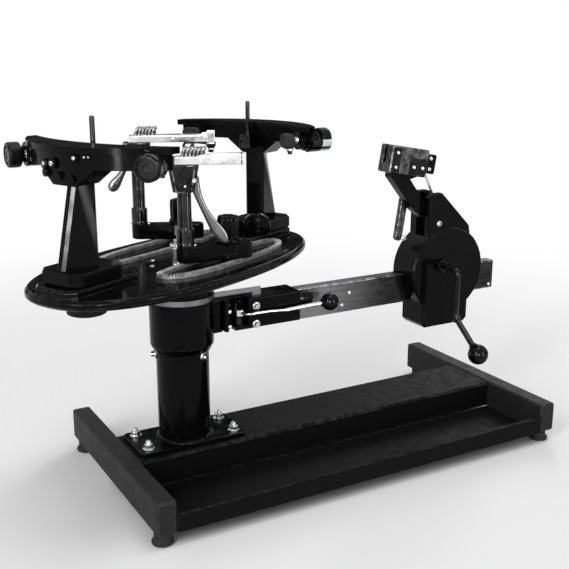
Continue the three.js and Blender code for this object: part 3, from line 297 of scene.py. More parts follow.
def softened(form, width, segments=2, sharper=25, chosen=lambda edge: True):
    # Rounds the chosen edges that turn sharply and marks them for the lighter edge colour
    rub = form.faces.layers.float.get("lightened_edge") or form.faces.layers.float.new("lightened_edge")
    edges = [
        edge for edge in form.edges
        if edge.is_manifold and edge.calc_face_angle() > radians(sharper) and chosen(edge)
    ]
    rounded = bmesh.ops.bevel(
        form, geom=edges, offset=width, offset_type="OFFSET", affect="EDGES",
        segments=segments, profile=0.5, material=-1, clamp_overlap=True,
    )
    for face in rounded["faces"]:
        face[rub] = 1
    return form


def mounted(name, form, finish, body, slot, *stands_for, crease=40):
    # Makes the finished object from its mesh and fixes it to the body that carries it
    mesh = bpy.data.meshes.new(name)
    form.to_mesh(mesh)
    form.free()
    mesh.materials.append(finish)
    mesh.shade_smooth()
    mesh.set_sharp_from_angle(angle=radians(crease))
    piece = bpy.data.objects.new(name, mesh)
    bpy.context.scene.collection.objects.link(piece)
    shading = piece.modifiers.new("even_shading", "WEIGHTED_NORMAL")
    shading.keep_sharp = True
    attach(piece, body)
    if stands_for:
        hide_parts(*stands_for)
    return piece


def rounded_piece(name, node, rounding, segments, finish, body, slot):
    # A CAD node that needs only its edges rounded
    return mounted(name, rounded_copy(node, rounding, segments), finish, body, slot, node)


# painted light: the legs' coat is a lighter copy of the beam's black powder coat, standing in for
# the light on their sides
satin_black_painted_lighter = powder_coat("satin_black_powder_coat_painted_lighter", 0.017, 0.029, 0.1)
for side in ("left", "right"):
    rounded_piece(f"leg_tube_{side}", f"leg_{side}", 1.4, 3, satin_black_painted_lighter, "base", "powder_black")

# Feet. Four moulded rubber feet with a wide rim stand under the ends of the legs. Each has a
# waisted neck and is screwed up into the tube.
foot_outline = [
    (0, 2.6), (6.2, 2.6), (7.0, 1.9), (7.4, 0), (13.6, 0), (15.2, 0.6), (16, 2.1), (16, 4.3),
    (15.4, 5.5), (14.3, 6.3), (13.3, 7.8), (12.6, 10.2), (12.1, 13.2), (12.1, 15.2),
    (12.9, 16), (12.9, 17.2), (12.3, 17.9), (12.3, 19.7), (0, 19.7),
]


def turned(outline, sides=56, foot=0):
    # Spins pairs of radius and height over the foot about the upright axis
    form = bmesh.new()
    corners = [form.verts.new((radius, 0, foot + height)) for radius, height in outline]
    edges = [form.edges.new(pair) for pair in zip(corners, corners[1:])]
    bmesh.ops.spin(
        form, geom=corners + edges, cent=(0, 0, 0), axis=(0, 0, 1),
        angle=2 * pi, steps=sides, use_merge=True,
    )
    bmesh.ops.remove_doubles(form, verts=form.verts[:], dist=0.001)
    bmesh.ops.recalc_face_normals(form, faces=form.faces[:])
    return form


def placed(form, place):
    # Carries a form made in millimetres to its place in the machine
    form.transform(place @ millimetres)
    return form


soft_rubber = surfaced(
    "moulded_black_rubber", 0, 0.25, (10, 3, (0.011, 0.011, 0.011), (0.022, 0.022, 0.021)),
    (5, 4, 0.62, 0.86), (0.8, 2, 0.04),
)
for corner in ("front_left", "front_right", "rear_left", "rear_right"):
    low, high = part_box(f"foot_{corner}")
    under_leg = Matrix.Translation(((low.x + high.x) / 2, (low.y + high.y) / 2, 0))
    rubber_foot = placed(turned(foot_outline), under_leg)
    mounted(
        f"rubber_foot_{corner}", rubber_foot, soft_rubber, "base", "black_rubber", f"foot_{corner}",
    )

# Beam and tool tray. A wide folded box joins the legs, and a sheet-steel tray with a turned-in
# front lip hangs in front of it for tools and clips. Both are powder coated with the legs.
smooth_black = powder_coat("smooth_black_powder_coat", 0.0035, 0.007, 0.05)
rounded_piece("beam_box", "beam", 1.5, 3, smooth_black, "base", "powder_black")
rounded_piece("tray_sheet", "tool_tray", 0.9, 3, smooth_black, "base", "powder_black")

# Column. A thick steel tube is welded to a flange plate, and both are painted gloss black.
# Four zinc-plated studs with washers and nuts hold the flange down on the beam.
column_low, column_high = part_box("column")
column_middle = (column_low + column_high) / 2
column_axis = Matrix.Translation((column_middle.x, column_middle.y, 0))
column_radius = 41
flange_top = 74.3


def hexagon(radius, height, chamfer=0.7):
    # A nut or bolt head standing on its face
    form = bmesh.new()
    bmesh.ops.create_cone(
        form, cap_ends=True, segments=6, radius1=radius, radius2=radius, depth=height,
    )
    bmesh.ops.translate(form, verts=form.verts[:], vec=(0, 0, height / 2))
    return softened(form, chamfer)


def threaded(radius, low, high, pitch=1.25, sides=20):
    # A thread as a stack of rings, one to a turn, with a chamfered end
    outline = [(0, low), (radius * 0.86, low)]
    for turn in range(int((high - low) / pitch)):
        outline.append((radius, low + pitch * (turn + 0.5)))
        outline.append((radius * 0.86, low + pitch * (turn + 1)))
    outline += [(radius * 0.78, high), (0, high)]
    return turned(outline, sides)


def washer(bore, radius, low, high):
    # A ring with chamfered corners between two heights
    edge = (high - low) * 0.3
    return turned([
        (bore, low), (radius - edge, low), (radius, low + edge), (radius, high - edge),
        (radius - edge, high), (bore + edge, high), (bore, high - edge), (bore, low),
    ], 32)


def added(form, part, place=(0, 0, 0)):
    # Adds another form to this one, shifted or placed by a matrix, so that they are one mesh
    part.transform(place if isinstance(place, Matrix) else Matrix.Translation(place))
    mesh = bpy.data.meshes.new("part")
    part.to_mesh(mesh)
    part.free()
    form.from_mesh(mesh)
    bpy.data.meshes.remove(mesh)
    return form


gloss_black = surfaced(
    "gloss_black_paint", 0, 0.07, (60, 3, (0.0026, 0.0026, 0.0028), (0.0046, 0.0046, 0.0049)),
    (22, 5, 0.08, 0.19), (4.5, 2, 0.012), (42, 1, 0.12), rub=((0.05, 0.05, 0.052), 0.5),
)
bright_steel = surfaced(
    "bright_plated_steel", 1, 0.5, (6, 3, (0.55, 0.56, 0.57), (0.78, 0.785, 0.79)),
    (3, 4, 0.1, 0.24), (1.2, 2, 0.012),
)
column_tube = rounded_copy("column", 0.8)
weld = turned([
    (40.5, -0.5), (44.6, -0.5), (44.2, 1.1), (43, 2.4), (41.6, 3.8), (40.5, 4.2), (40.5, -0.5),
], 220, flange_top)
for point in weld.verts:
    if hypot(point.co.x, point.co.y) > column_radius:
        ripple = 1 + 0.009 * sin(72 * atan2(point.co.y, point.co.x))
        point.co.x *= ripple
        point.co.y *= ripple
added(column_tube, placed(weld, column_axis))
mounted("column_tube", column_tube, gloss_black, "base", "gloss_black", "column")

flange_bolts = bmesh.new()
for along in (-72, 72):
    for across in (-28, 28):
        stud = threaded(4, flange_top - 3, flange_top + 13.5)
        added(stud, washer(4.2, 9.2, flange_top + 0.05, flange_top + 1.7))
        added(stud, hexagon(7.2, 6.2), (0, 0, flange_top + 1.7))
        added(flange_bolts, stud, (along, across, 0))
mounted("flange_bolts", placed(flange_bolts, column_axis), bright_steel, "base", "chrome")

# Hub sleeve. A turned steel collar drops over the column's top and carries the rail bracket.
# It tapers to a thin lip, under which two socket screws with cup washers lock the column.
sleeve_lip = 216.4


def socket_screw(radius, height, sides=24):
    # A button head with a hexagonal socket, standing on its face
    form = turned([
        (0, 0), (radius, 0), (radius, height * 0.55), (radius * 0.93, height * 0.8),
        (radius * 0.78, height), (radius * 0.64, height),
    ], sides)
    rim = [edge for edge in form.edges if edge.is_boundary]
    for level in (height, height * 0.45):
        ring = bmesh.ops.create_circle(
            form, cap_ends=False, segments=6, radius=radius * 0.5,
            matrix=Matrix.Translation((0, 0, level)),
        )
        key = list({edge for corner in ring["verts"] for edge in corner.link_edges})
        bmesh.ops.bridge_loops(form, edges=rim + key)
        rim = key
    bmesh.ops.contextual_create(form, geom=rim)
    bmesh.ops.recalc_face_normals(form, faces=form.faces[:])
    form.faces.layers.float.new("lightened_edge")
    return form


def facing(direction, place):
    # Turns a form made upright to look along a direction, at a place in millimetres
    turn = Vector(direction).normalized().to_track_quat("Z", "Y").to_matrix().to_4x4()
    return Matrix.Translation(place) @ turn


rounded_piece("sleeve_collar", "hub_sleeve", 0.9, 2, gloss_black, "base", "gloss_black")
lock_screws = bmesh.new()
for heading in (165, 296):
    outward = (cos(radians(heading)), sin(radians(heading)), 0)
    seat = Vector(outward) * column_radius + Vector((0, 0, sleeve_lip - 5.5))
    cup = washer(3.2, 7.4, -0.4, 2.4)
    added(cup, socket_screw(4.6, 6.4), (0, 0, 2))
    added(lock_screws, cup, facing(outward, seat))
mounted("column_lock_screws", placed(lock_screws, column_axis), bright_steel, "base", "chrome")

# Rail bracket. A cast saddle is bolted to the sleeve's boss and grips the rail's end from above.
# Socket screws with washers hold its plate and clamp the rail from the front.
bracket_face = -34
rounded_piece("bracket_saddle", "rail_bracket", 0.8, 2, gloss_black, "base", "gloss_black")
bracket_screws = bmesh.new()
for level in (277, 247.5):
    seat = (112, bracket_face, level)
    head = washer(2.8, 6.4, 0, 1.2)
    added(head, socket_screw(4.7, 4.6), (0, 0, 1.2))
    added(bracket_screws, head, facing((0, -1, 0), seat))
for level in (272, 248):
    seat = (64.6, -27.5, level)
    head = washer(2.8, 5.6, 0, 1.2)
    added(head, hexagon(4.4, 4.4, 0.5), (0, 0, 1.2))
    added(bracket_screws, head, facing((1, 0, 0), seat))
mounted("bracket_screws", placed(bracket_screws, column_axis), bright_steel, "base", "chrome")

# Tension rail. A flat steel bar carries the tension head. Its faces are ground lengthwise, and
# small socket screws in its front mark the stops.


def ground_steel():
    # Streaked lighter beside the bracket, with painted shade that darkens it towards the tension
    # head
    finish = finish_of("ground_dark_steel", 0.85, 0.5)
    tree = finish.node_tree
    streak = grain(finish, 1.1, 3, (60, 1, 1))
    blotch = grain(finish, 9, 5, (2.5, 1, 1))
    unshaded_tone = toned(finish, streak, (0.1, 0.1, 0.104), (0.22, 0.22, 0.225), 0.3, 0.7)
    head_shade_tone = toned(finish, blotch, (0.012, 0.012, 0.0125), (0.034, 0.034, 0.035), 0.35, 0.7)
    place = node(tree, "TexCoord", {})
    along = node(tree, "SeparateXYZ", {0: place.outputs["Object"]})
    # painted shade: the colour darkens from 50 to 180 mm along X, towards the tension head
    head_shade_share = graded(finish, along.outputs["X"], 0, 1, 0.05, 0.18)
    head_shade_mix = node(tree, "MixRGB", {"Fac": head_shade_share, "Color1": unshaded_tone, "Color2": head_shade_tone})
    tone = lightened_edges(finish, head_shade_mix.outputs["Color"], (0.4, 0.4, 0.41), 0.8)
    shine = graded(finish, streak, 0.3, 0.48)
    return dressed(finish, tone, shine, (streak, 0.02), (blotch, 0.03))


rail_steel = ground_steel()
rounded_piece("rail_bar", "tension_rail", 0.7, 3, rail_steel, "base", "rail_steel")
rail_screws = bmesh.new()
for along, level in ((300, 267), (286, 247), (608, 242)):
    added(rail_screws, socket_screw(3.2, 1.8), facing((0, -1, 0), (along, -11, level)))
mounted("rail_screws", placed(rail_screws, column_axis), bright_steel, "base", "chrome")

# Bumper. A short buffer of hard black phenolic at the bracket's end stops the tension head.
# It is turned, lies along the rail and has two grooves.
bumper_low, bumper_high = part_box("rail_bumper")
bumper_outline = [
    (0, 0), (10.6, 0), (11, 0.5), (11, 7.2), (10.2, 7.8), (10.2, 9), (11, 9.6), (11, 15.4),
    (10.2, 16), (10.2, 17.2), (11, 17.8), (11, 22.4), (10.4, 24.2), (8.8, 25.4), (6.6, 25.7),
    (4.4, 25.7), (4, 24.4), (0, 24.4),
]


phenolic = surfaced(
    "polished_black_phenolic", 0, 0.14, (12, 5, (0.002, 0.002, 0.002), (0.004, 0.004, 0.0038)),
    (8, 5, 0.04, 0.11), (3, 2, 0.008),
)
rail_buffer = turned(bumper_outline)
bumper_seat = (bumper_low + bumper_high) / 2
bumper_seat.x = bumper_low.x
placed(rail_buffer, facing((1, 0, 0), bumper_seat))
mounted("rail_buffer", rail_buffer, phenolic, "base", "black_rubber", "rail_bumper")

# Turntable brake. A spring-steel band wraps the turntable's hub and is drawn tight by a cranked
# chrome lever with a ball. The lever turns on a stud that stands in the bracket's recess.
brake_low, brake_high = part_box("brake_bolt")
brake_middle = (brake_low + brake_high) / 2
brake_stud_axis = Matrix.Translation((brake_middle.x, brake_middle.y, 0))
brake_seat = 246.8


def lofted(places, sides, radius):
    # Bridges one ring at each place into a skin that is closed at both ends
    form = bmesh.new()
    previous = None
    for place in places:
        ring = bmesh.ops.create_circle(
            form, cap_ends=False, segments=sides, radius=radius, matrix=place,
        )
        loop = list({edge for corner in ring["verts"] for edge in corner.link_edges})
        if previous:
            bmesh.ops.bridge_loops(form, edges=previous + loop)
        else:
            bmesh.ops.contextual_create(form, geom=loop)
        previous = loop
    bmesh.ops.contextual_create(form, geom=previous)
    bmesh.ops.recalc_face_normals(form, faces=form.faces[:])
    return form


def bent_bar(points, bend, radius, sides=20, steps=7):
    # A round bar through the points, bent to an arc at each corner
    corners = [Vector(point) for point in points]
    path = [corners[0]]
    for before, corner, after in zip(corners, corners[1:], corners[2:]):
        entry = corner + (before - corner).normalized() * bend
        leave = corner + (after - corner).normalized() * bend
        for step in range(steps + 1):
            share = step / steps
            path.append(entry.lerp(corner, share).lerp(corner.lerp(leave, share), share))
    path.append(corners[-1])
    turn = (path[1] - path[0]).to_track_quat("Z", "Y")
    heading = (path[1] - path[0]).normalized()
    places = []
    for index, point in enumerate(path):
        ahead = path[min(index + 1, len(path) - 1)] - path[max(index - 1, 0)]
        turn = heading.rotation_difference(ahead.normalized()) @ turn
        heading = ahead.normalized()
        places.append(Matrix.Translation(point) @ turn.to_matrix().to_4x4())
    return lofted(places, sides, radius)


def cut_off(form, place, outward):
    # Cuts away what lies outward of a plane and closes the cut
    bmesh.ops.bisect_plane(
        form, geom=form.verts[:] + form.edges[:] + form.faces[:], plane_co=place,
        plane_no=outward, clear_outer=True,
    )
    bmesh.ops.holes_fill(form, edges=[edge for edge in form.edges if edge.is_boundary], sides=0)
    bmesh.ops.recalc_face_normals(form, faces=form.faces[:])
    return form


def ball_knob(radius, neck_radius, neck, heading, centre):
    # A moulded ball with a short flat-faced neck that looks back down its rod
    form = bmesh.new()
    bmesh.ops.create_uvsphere(form, u_segments=48, v_segments=32, radius=radius)
    flat = -radius * 0.94
    cut_off(form, (0, 0, flat), (0, 0, -1))
    added(form, turned([
        (0, flat - neck), (neck_radius * 0.86, flat - neck), (neck_radius, flat - neck * 0.7),
        (neck_radius, flat + 1), (0, flat + 1),
    ], 32))
    form.transform(facing(heading, centre))
    return form


dark_steel = surfaced(
    "polished_dark_steel", 1, 0.5, (18, 4, (0.02, 0.02, 0.021), (0.042, 0.042, 0.043)),
    (6, 4, 0.08, 0.18), (1.2, 2, 0.006, (1, 1, 9)),
)
rounded_piece("brake_band_strip", "brake_band", 0.35, 2, rail_steel, "base", "rail_steel")
brake_stud = threaded(4, brake_seat, brake_seat + 38.8, 1.25, 24)
added(brake_stud, washer(4.2, 9, brake_seat, brake_seat + 1.6))
added(brake_stud, hexagon(7.5, 13.4, 0.8), (0, 0, brake_seat + 1.6))
added(brake_stud, turned(
    [(0, 38.5), (3.5, 38.5), (3.2, 39.4), (2, 39.9), (0, 40)], 24, brake_seat,
))
placed(brake_stud, brake_stud_axis)
mounted("brake_stud_and_nut", brake_stud, dark_steel, "base", "chrome", "brake_bolt")

lever_level = brake_seat + 20.8
lever_front = -20
brake_rod = turned([
    (4.3, -5.4), (7.7, -5.4), (8.5, -4.6), (8.5, 4.6), (7.7, 5.4), (4.3, 5.4), (4.3, -5.4),
], 40)
brake_rod.transform(Matrix.Translation((0, 0, lever_level)))
added(brake_rod, bent_bar([
    (0, -6.2, lever_level), (6, lever_front, lever_level), (38, lever_front, lever_level + 0.4),
    (72, lever_front, lever_level - 2.2), (84, lever_front, lever_level - 2),
], 8, 2.4))
added(brake_rod, bent_bar([
    (70, lever_front, lever_level - 2.3), (86, lever_front, lever_level - 1.9),
    (150, lever_front, lever_level),
], 6, 3.4))
placed(brake_rod, brake_stud_axis)
mounted("brake_rod", brake_rod, bright_steel, "brake", "chrome", "brake_lever")
brake_knob = ball_knob(15, 6, 2.2, (1, 0, 0), (154, lever_front, lever_level))
placed(brake_knob, brake_stud_axis)
mounted("brake_knob", brake_knob, phenolic, "brake", "black_phenolic", "brake_ball")

# Turntable. An oval casting with a hub, two ribs and a raised strip under each tower turns on
# the column. It is painted gloss black over the cast surface, with bare bright screws.
table_top = 359.7
table_frame = column_axis @ Matrix.Rotation(radians(27.3), 4, "Z")
rounded_piece("turntable_casting", "turntable", 1.3, 3, gloss_black, "turntable", "gloss_black")
table_screws = bmesh.new()
for along, across in ((-36, 22), (-62, 0), (-36, -22), (36, 22), (36, -22)):
    added(table_screws, socket_screw(3.4, 1.5), (along, across, table_top))
mounted("table_screws", placed(table_screws, table_frame), bright_steel, "turntable", "chrome")

# Centre bolt. A plated shouldered bolt with a broad flange and a hexagon stands in the middle of
# the turntable and holds it on the column's bearing.
bolt_low = table_top + 0.3
centre_bolt = turned([
    (0, 0), (11, 0), (11, 15), (10.2, 16.4), (10.2, 17.6), (13.4, 17.7), (14, 18.3),
    (14, 21.6), (13.2, 22.7), (0, 22.7),
], 64, bolt_low)
added(centre_bolt, hexagon(9, 6.6, 0.9), (0, 0, bolt_low + 22.7))
placed(centre_bolt, table_frame)
mounted("centre_shoulder_bolt", centre_bolt, bright_steel, "turntable", "chrome", "centre_bolt")

# Clamp tracks. Two closed rings of milled steel follow the edge of the turntable. Teeth are
# cut across their top, into which the clamp bases lock, and the groove floors between them get a
# dark finish as painted shade.
tooth_pitch = 4.6
tooth_depth = 2.4
track_width = 8
track_height = 6
track_left, track_right = -112, 172
track_inner, track_outer = 38, 98


def track_line(side, inset, count=900):
    # The ring's outline, drawn in by the inset: a flattened oval that bellies outward
    middle = (track_left + track_right) / 2
    half = (track_right - track_left) / 2 - inset
    inner = track_inner + inset
    outer = track_outer - inset
    centre = inner + (outer - inner) * 0.25
    rough = []
    for step in range(count):
        angle = 2 * pi * step / count
        along = (1 if cos(angle) > 0 else -1) * abs(cos(angle)) ** 0.72
        across = sin(angle)
        target = inner if across > 0 else outer
        belly = centre + (target - centre) * abs(across) ** 0.8
        rough.append(Vector((middle + half * along, side * belly)))
    return rough


def walked(rough, steps):
    # The same closed line in so many equal steps
    lengths = [0]
    closed = rough + [rough[0]]
    for here, there in zip(closed, closed[1:]):
        lengths.append(lengths[-1] + (there - here).length)
    line = []
    index = 0
    for step in range(steps):
        distance = lengths[-1] * step / steps
        while lengths[index + 1] < distance:
            index += 1
        share = (distance - lengths[index]) / max(lengths[index + 1] - lengths[index], 1e-9)
        line.append(closed[index].lerp(closed[index + 1], share))
    return line


def toothed_track(side):
    # Four closed loops bridged into a ring. The two on top rise and fall as teeth, four steps
    # to a tooth. The underside and the groove floors get the second, dark finish, which on the
    # groove floors is painted shade.
    rough = track_line(side, 0)
    around = sum((b - a).length for a, b in zip(rough, rough[1:] + rough[:1]))
    steps = int(around / tooth_pitch) * 4
    middle = walked(track_line(side, track_width / 2), steps)
    low = table_top + 0.3
    form = bmesh.new()
    loops = []
    rim = track_width / 2
    for reach, top in ((rim, False), (rim, True), (-rim, True), (-rim, False)):
        corners = []
        for step, point in enumerate(middle):
            run = middle[(step + 1) % steps] - middle[step - 1]
            outward = Vector((run.y, -run.x)).normalized() * reach * side * -1
            height = low
            if top:
                height = low + track_height - (tooth_depth if step % 4 > 1 else 0)
            corners.append(form.verts.new((point.x + outward.x, point.y + outward.y, height)))
        loops.append([form.edges.new((corners[step - 1], corners[step])) for step in range(steps)])
    for here, there in zip(loops, loops[1:] + loops[:1]):
        bmesh.ops.bridge_loops(form, edges=here + there)
    bmesh.ops.recalc_face_normals(form, faces=form.faces[:])
    for face in form.faces:
        centre = face.calc_center_median().z
        flat = abs(face.normal.z) > 0.5
        # painted shade: the flat floors between the teeth take the dark finish
        shaded_groove_floor = flat and centre < low + track_height - 0.1
        face.material_index = 1 if shaded_groove_floor or centre < low + 0.1 else 0
    return form


track_steel = surfaced(
    "milled_track_steel", 0.6, 0.5, (7, 4, (0.19, 0.19, 0.192), (0.4, 0.4, 0.404)),
    (4, 4, 0.42, 0.55), (2, 2, 0.008),
)
for mark, side in (("near", -1), ("far", 1)):
    ring = placed(toothed_track(side), table_frame)
    ring = mounted(
        f"toothed_track_{mark}", ring, track_steel, "turntable", "track_steel",
        f"clamp_track_{mark}", crease=20,
    )
    # the second, dark finish paints shade into the groove floors
    ring.data.materials.append(dark_steel)

# Towers. Each cast tower stands on a strip of the turntable and ends in a crescent head with a
# flange. The castings are painted gloss black, and a rounded lug stands at the right one's foot.
tower_along = 208
head_arc_centre, head_arc_radius = 76, 160
tower_frames = {
    "right": table_frame,
    "left": table_frame @ Matrix.Translation((0.012, 0, 0)) @ Matrix.Rotation(pi, 4, "Z"),
}


def shaft_edge(edge):
    # The long upright edges between the foot and the head
    ends = sorted(corner.co.z for corner in edge.verts)
    return ends[0] < 0.395 and ends[1] > 0.49


def on_head(across, level):
    # A place on the curved outer face of the head, and the way the face looks there
    reach = (head_arc_radius ** 2 - across ** 2) ** 0.5
    return Vector((head_arc_centre + reach, across, level)), Vector((reach, across, 0)).normalized()


for side, tower_frame in tower_frames.items():
    tower_casting = softened(merged_copy(f"tower_{side}"), 0.006, 10, 40, shaft_edge)
    softened(tower_casting, 0.0016, 3, 40)
    if side == "right":
        lug = turned([
            (0, -4), (19, -4), (19, 2), (18.2, 5.6), (16, 8.6), (12, 10.6), (6, 11.6), (0, 11.8),
        ], 64)
        bmesh.ops.scale(lug, verts=lug.verts[:], vec=(1.2, 1.2, 1))
        lug.transform(facing((-1, -0.7, 0), (172, -22, 0)))
        lug.transform(Matrix.Translation((0, 0, 382)))
        cut_off(lug, (0, 0, 371), (0, 0, -1))
        added(tower_casting, placed(lug, tower_frame))
    mounted(
        f"tower_casting_{side}", tower_casting, gloss_black,
        f"tower_{side}", "gloss_black", f"tower_{side}", crease=10,
    )
    tower_bosses = bmesh.new()
    tower_screws = bmesh.new()
    for across, level, boss, reach in (
        (-33, 524.6, 6.2, 3.4), (-15.3, 526.2, 7.4, 4.4), (22, 535, 5.6, 3), (36.8, 537, 3.4, 1.6),
        (42.5, 537.2, 3.2, 1.4), (49.2, 542.2, 3.2, 1.4),
    ):
        seat, outward = on_head(across, level)
        added(tower_bosses, turned([
            (0, -3), (boss, -3), (boss, reach - 0.7), (boss - 0.7, reach), (0, reach),
        ], 32), facing(outward, seat))
        added(tower_screws, socket_screw(boss * 0.46, 1.6), facing(outward, seat + outward * reach))
    for across, level in ((-29.7, 513.4), (-5.2, 510.5), (15.2, 507.5)):
        seat, outward = on_head(across, level)
        seat.x -= 1
        added(tower_bosses, hexagon(6, 6.4, 0.6), facing(outward, seat))
    placed(tower_bosses, tower_frame)
    mounted(f"tower_bosses_{side}", tower_bosses, gloss_black, f"tower_{side}", "gloss_black")
    placed(tower_screws, tower_frame)
    mounted(f"tower_screws_{side}", tower_screws, bright_steel, f"tower_{side}", "chrome")

# Lock wheels. A moulded wheel with shallow grips under each tower screws up into it and clamps
# it to the turntable. The collar above the grip bears on the casting.
wheel_top = 345.4


def fluted(form, count, depth, inner, low, high):
    # Presses so many rounded flutes into the rim between two heights
    for point in form.verts:
        reach = hypot(point.co.x, point.co.y)
        if reach > inner and low < point.co.z < high:
            angle = atan2(point.co.y, point.co.x)
            share = (0.5 - 0.5 * cos(count * angle)) ** 0.7
            point.co.x *= 1 - depth * share / reach
            point.co.y *= 1 - depth * share / reach
    return form


knob_black = surfaced(
    "moulded_black_plastic", 0, 0.12, (16, 3, (0.0045, 0.0045, 0.0048), (0.0085, 0.0085, 0.0088)),
    (7, 4, 0.1, 0.2), (1.4, 2, 0.01), rub=((0.05, 0.05, 0.05), 0.4),
)
for side, tower_frame in tower_frames.items():
    grip_wheel = turned([
        (0, -22.7), (14, -22.7), (15, -21.8), (23.4, -21.8), (25.2, -22.7), (26.7, -21.6),
        (27.2, -20), (27.2, -14), (27.2, -6.4), (26.6, -4.4), (24.8, -3), (14.4, -2.7),
        (12.6, -2.2), (12, -1), (12, 0), (5, 0), (5, 34), (4.4, 38), (0, 38),
    ], 180)
    fluted(grip_wheel, 30, 1.1, 26, -21, -5)
    grip_wheel.transform(Matrix.Translation((tower_along, 0, wheel_top)))
    placed(grip_wheel, tower_frame)
    wheel = f"lock_wheel_{side}"
    mounted(f"grip_wheel_{side}", grip_wheel, knob_black, wheel, "black_phenolic", wheel)

# Centre supports. A milled steel cube with an upright pin for the racket's head stands in front
# of each tower and slides in it on a round stem.
support_along = 180
support_level = 519.5


def block(size, centre=(0, 0, 0)):
    # A plain box of that size round a centre
    form = bmesh.new()
    bmesh.ops.create_cube(form, size=1)
    bmesh.ops.scale(form, verts=form.verts[:], vec=size)
    bmesh.ops.translate(form, verts=form.verts[:], vec=centre)
    return form


for side, tower_frame in tower_frames.items():
    support_block = softened(block((20, 20, 21)), 1.2, 3)
    support_block.transform(Matrix.Translation((support_along, 0, support_level)))
    added(support_block, turned([
        (0, 530), (3.5, 530), (3.5, 533), (3.1, 533.6), (3.5, 534.2), (3.5, 580.4),
        (3.1, 581.8), (2.2, 582.7), (0, 583),
    ], 32), Matrix.Translation((support_along, 0, 0)))
    stem = turned([(0, 0), (6, 0), (6, 38), (0, 38)], 32)
    added(support_block, stem, facing((1, 0, 0), (support_along + 9, 0, support_level)))
    key_screw = socket_screw(3.4, 1.6)
    added(support_block, key_screw, facing((-1, 0, 0), (support_along - 10, 0, support_level)))
    placed(support_block, tower_frame)
    mounted(
        f"support_block_{side}", support_block, dark_steel,
        f"centre_support_{side}", "dark_steel", f"centre_support_{side}",
    )

# Shoulder screws. At each end of a tower's head a knob drives a screw that presses a rubber pad
# against the racket's shoulder. The knobs are moulded, with a stepped face and a ribbed rim, and
# a grey bracket guards the one at the right tower's near end. A bright half ring under that knob is
# a painted reflection on its lower half.
shoulder_level = 527
guard_radius = 18.1
guard_sheet = 1.2


def shoulder_frame(tower_frame, mark):
    # Looks inward along the screw, its origin at the knob's inner face
    sign = 1 if mark == "a" else -1
    turn = Matrix.Rotation(pi + sign * radians(25), 4, "Z")
    seat = Matrix.Translation((0.2, sign * 0.117, shoulder_level * 0.001))
    return tower_frame @ seat @ turn @ Matrix.Rotation(pi / 2, 4, "Y")


for side, tower_frame in tower_frames.items():
    for mark in ("a", "b"):
        screw_frame = shoulder_frame(tower_frame, mark)
        grip_knob = turned([
            (0, -18.6), (5.5, -18.6), (6, -19.3), (9.6, -19.3), (10.1, -18.4), (12.4, -18.4),
            (13, -20), (14.6, -20), (16.4, -19.3), (17.3, -17.8), (17.5, -16), (17.5, -10),
            (17.5, -4.6), (17, -3), (15.2, -2.1), (12.6, -1.6), (11.6, -0.9), (11, 0),
            (11, 2), (5, 2), (5, 4), (0, 4),
        ], 144)
        fluted(grip_knob, 36, 0.35, 16.8, -17.6, -3.6)
        placed(grip_knob, screw_frame)
        knob = f"shoulder_knob_{side}_{mark}"
        mounted(
            f"shoulder_grip_{side}_{mark}", grip_knob, knob_black, knob, "black_phenolic", knob,
        )
        if (side, mark) == ("right", "b"):
            # painted reflection: the bright half ring stands in for light mirrored in the knob's
            # lower half
            for name, start, end, finish, slot in (
                ("half_ring_painted_reflection", -18.6, -1.2, bright_steel, "chrome"),
                ("grey_bracket", -0.9, 17, dark_steel, "dark_steel"),
            ):
                outside = guard_radius + guard_sheet
                half_sleeve = turned([
                    (guard_radius, start), (outside, start), (outside, end), (guard_radius, end),
                    (guard_radius, start),
                ], 72)
                cut_off(half_sleeve, (-0.5, 0, 0), (-1, 0, 0))
                placed(softened(half_sleeve, 0.25), screw_frame)
                mounted(f"knob_{name}", half_sleeve, finish, f"tower_{side}", slot)
            guard_screws = bmesh.new()
            for along in (6, 15):
                added(guard_screws, socket_screw(3, 2.6), facing((-1, 0, 0), (-16.2, 0, along)))
            placed(guard_screws, screw_frame)
            mounted("knob_guard_screws", guard_screws, bright_steel, f"tower_{side}", "chrome")
        screw = placed(threaded(5, 3.5, 53, 1.5, 24), screw_frame)
        mounted(f"shoulder_screw_{side}_{mark}", screw, bright_steel, knob, "chrome")
        shell = turned([
            (11.8, 4.6), (15.4, 4.6), (16.6, 5.8), (16.6, 11), (15.8, 11.7), (15.8, 12.9),
            (16.6, 13.6), (16.6, 24), (15.4, 26), (11.8, 26), (11.8, 4.6),
        ], 64)
        placed(shell, screw_frame)
        mounted(f"knob_shell_{side}_{mark}", shell, gloss_black, f"tower_{side}", "gloss_black")
        pad_bolt = turned([
            (0, -10.6), (2.6, -10.6), (2.6, -12), (5.6, -12), (6.2, -13), (5.9, -15),
            (4.6, -16.8), (3, -17.3), (0, -17.3),
        ], 32)
        added(pad_bolt, hexagon(3.6, 3.4, 0.4), (0, 0, -20.6))
        for face in pad_bolt.faces:
            face.material_index = 1 if face.calc_center_median().z < -17.25 else 0
        pad_bolt.transform(Matrix.Rotation(-pi / 2, 4, "Y"))
        pad_bolt.transform(Matrix.Translation((0, 0, 48)))
        placed(pad_bolt, screw_frame)
        pad = f"shoulder_pad_{side}_{mark}"
        bolt = mounted(f"pad_bolt_{side}_{mark}", pad_bolt, bright_steel, pad, "chrome")
        bolt.data.materials.append(knob_black)
        rounded_piece(
            f"rubber_pad_{side}_{mark}", pad, 1.3, 3, soft_rubber, pad, "black_rubber",
        )

# Clamp bases. Each string clamp stands on a cast bar that slides over its track on a shoe and is
# locked there by a fluted knob. A knurled steel ring surrounds the bar's boss.
base_bottom = 366.3
base_top = 390
post_along = 66
clamp_places = {"near": (20, -77, 148, -52), "far": (94, 74, 129, -50)}
base_frames = {
    mark: table_frame @ Matrix.Translation((along * 0.001, across * 0.001, 0))
    @ Matrix.Rotation(radians(turn), 4, "Z")
    for mark, (along, across, turn, head_turn) in clamp_places.items()
}


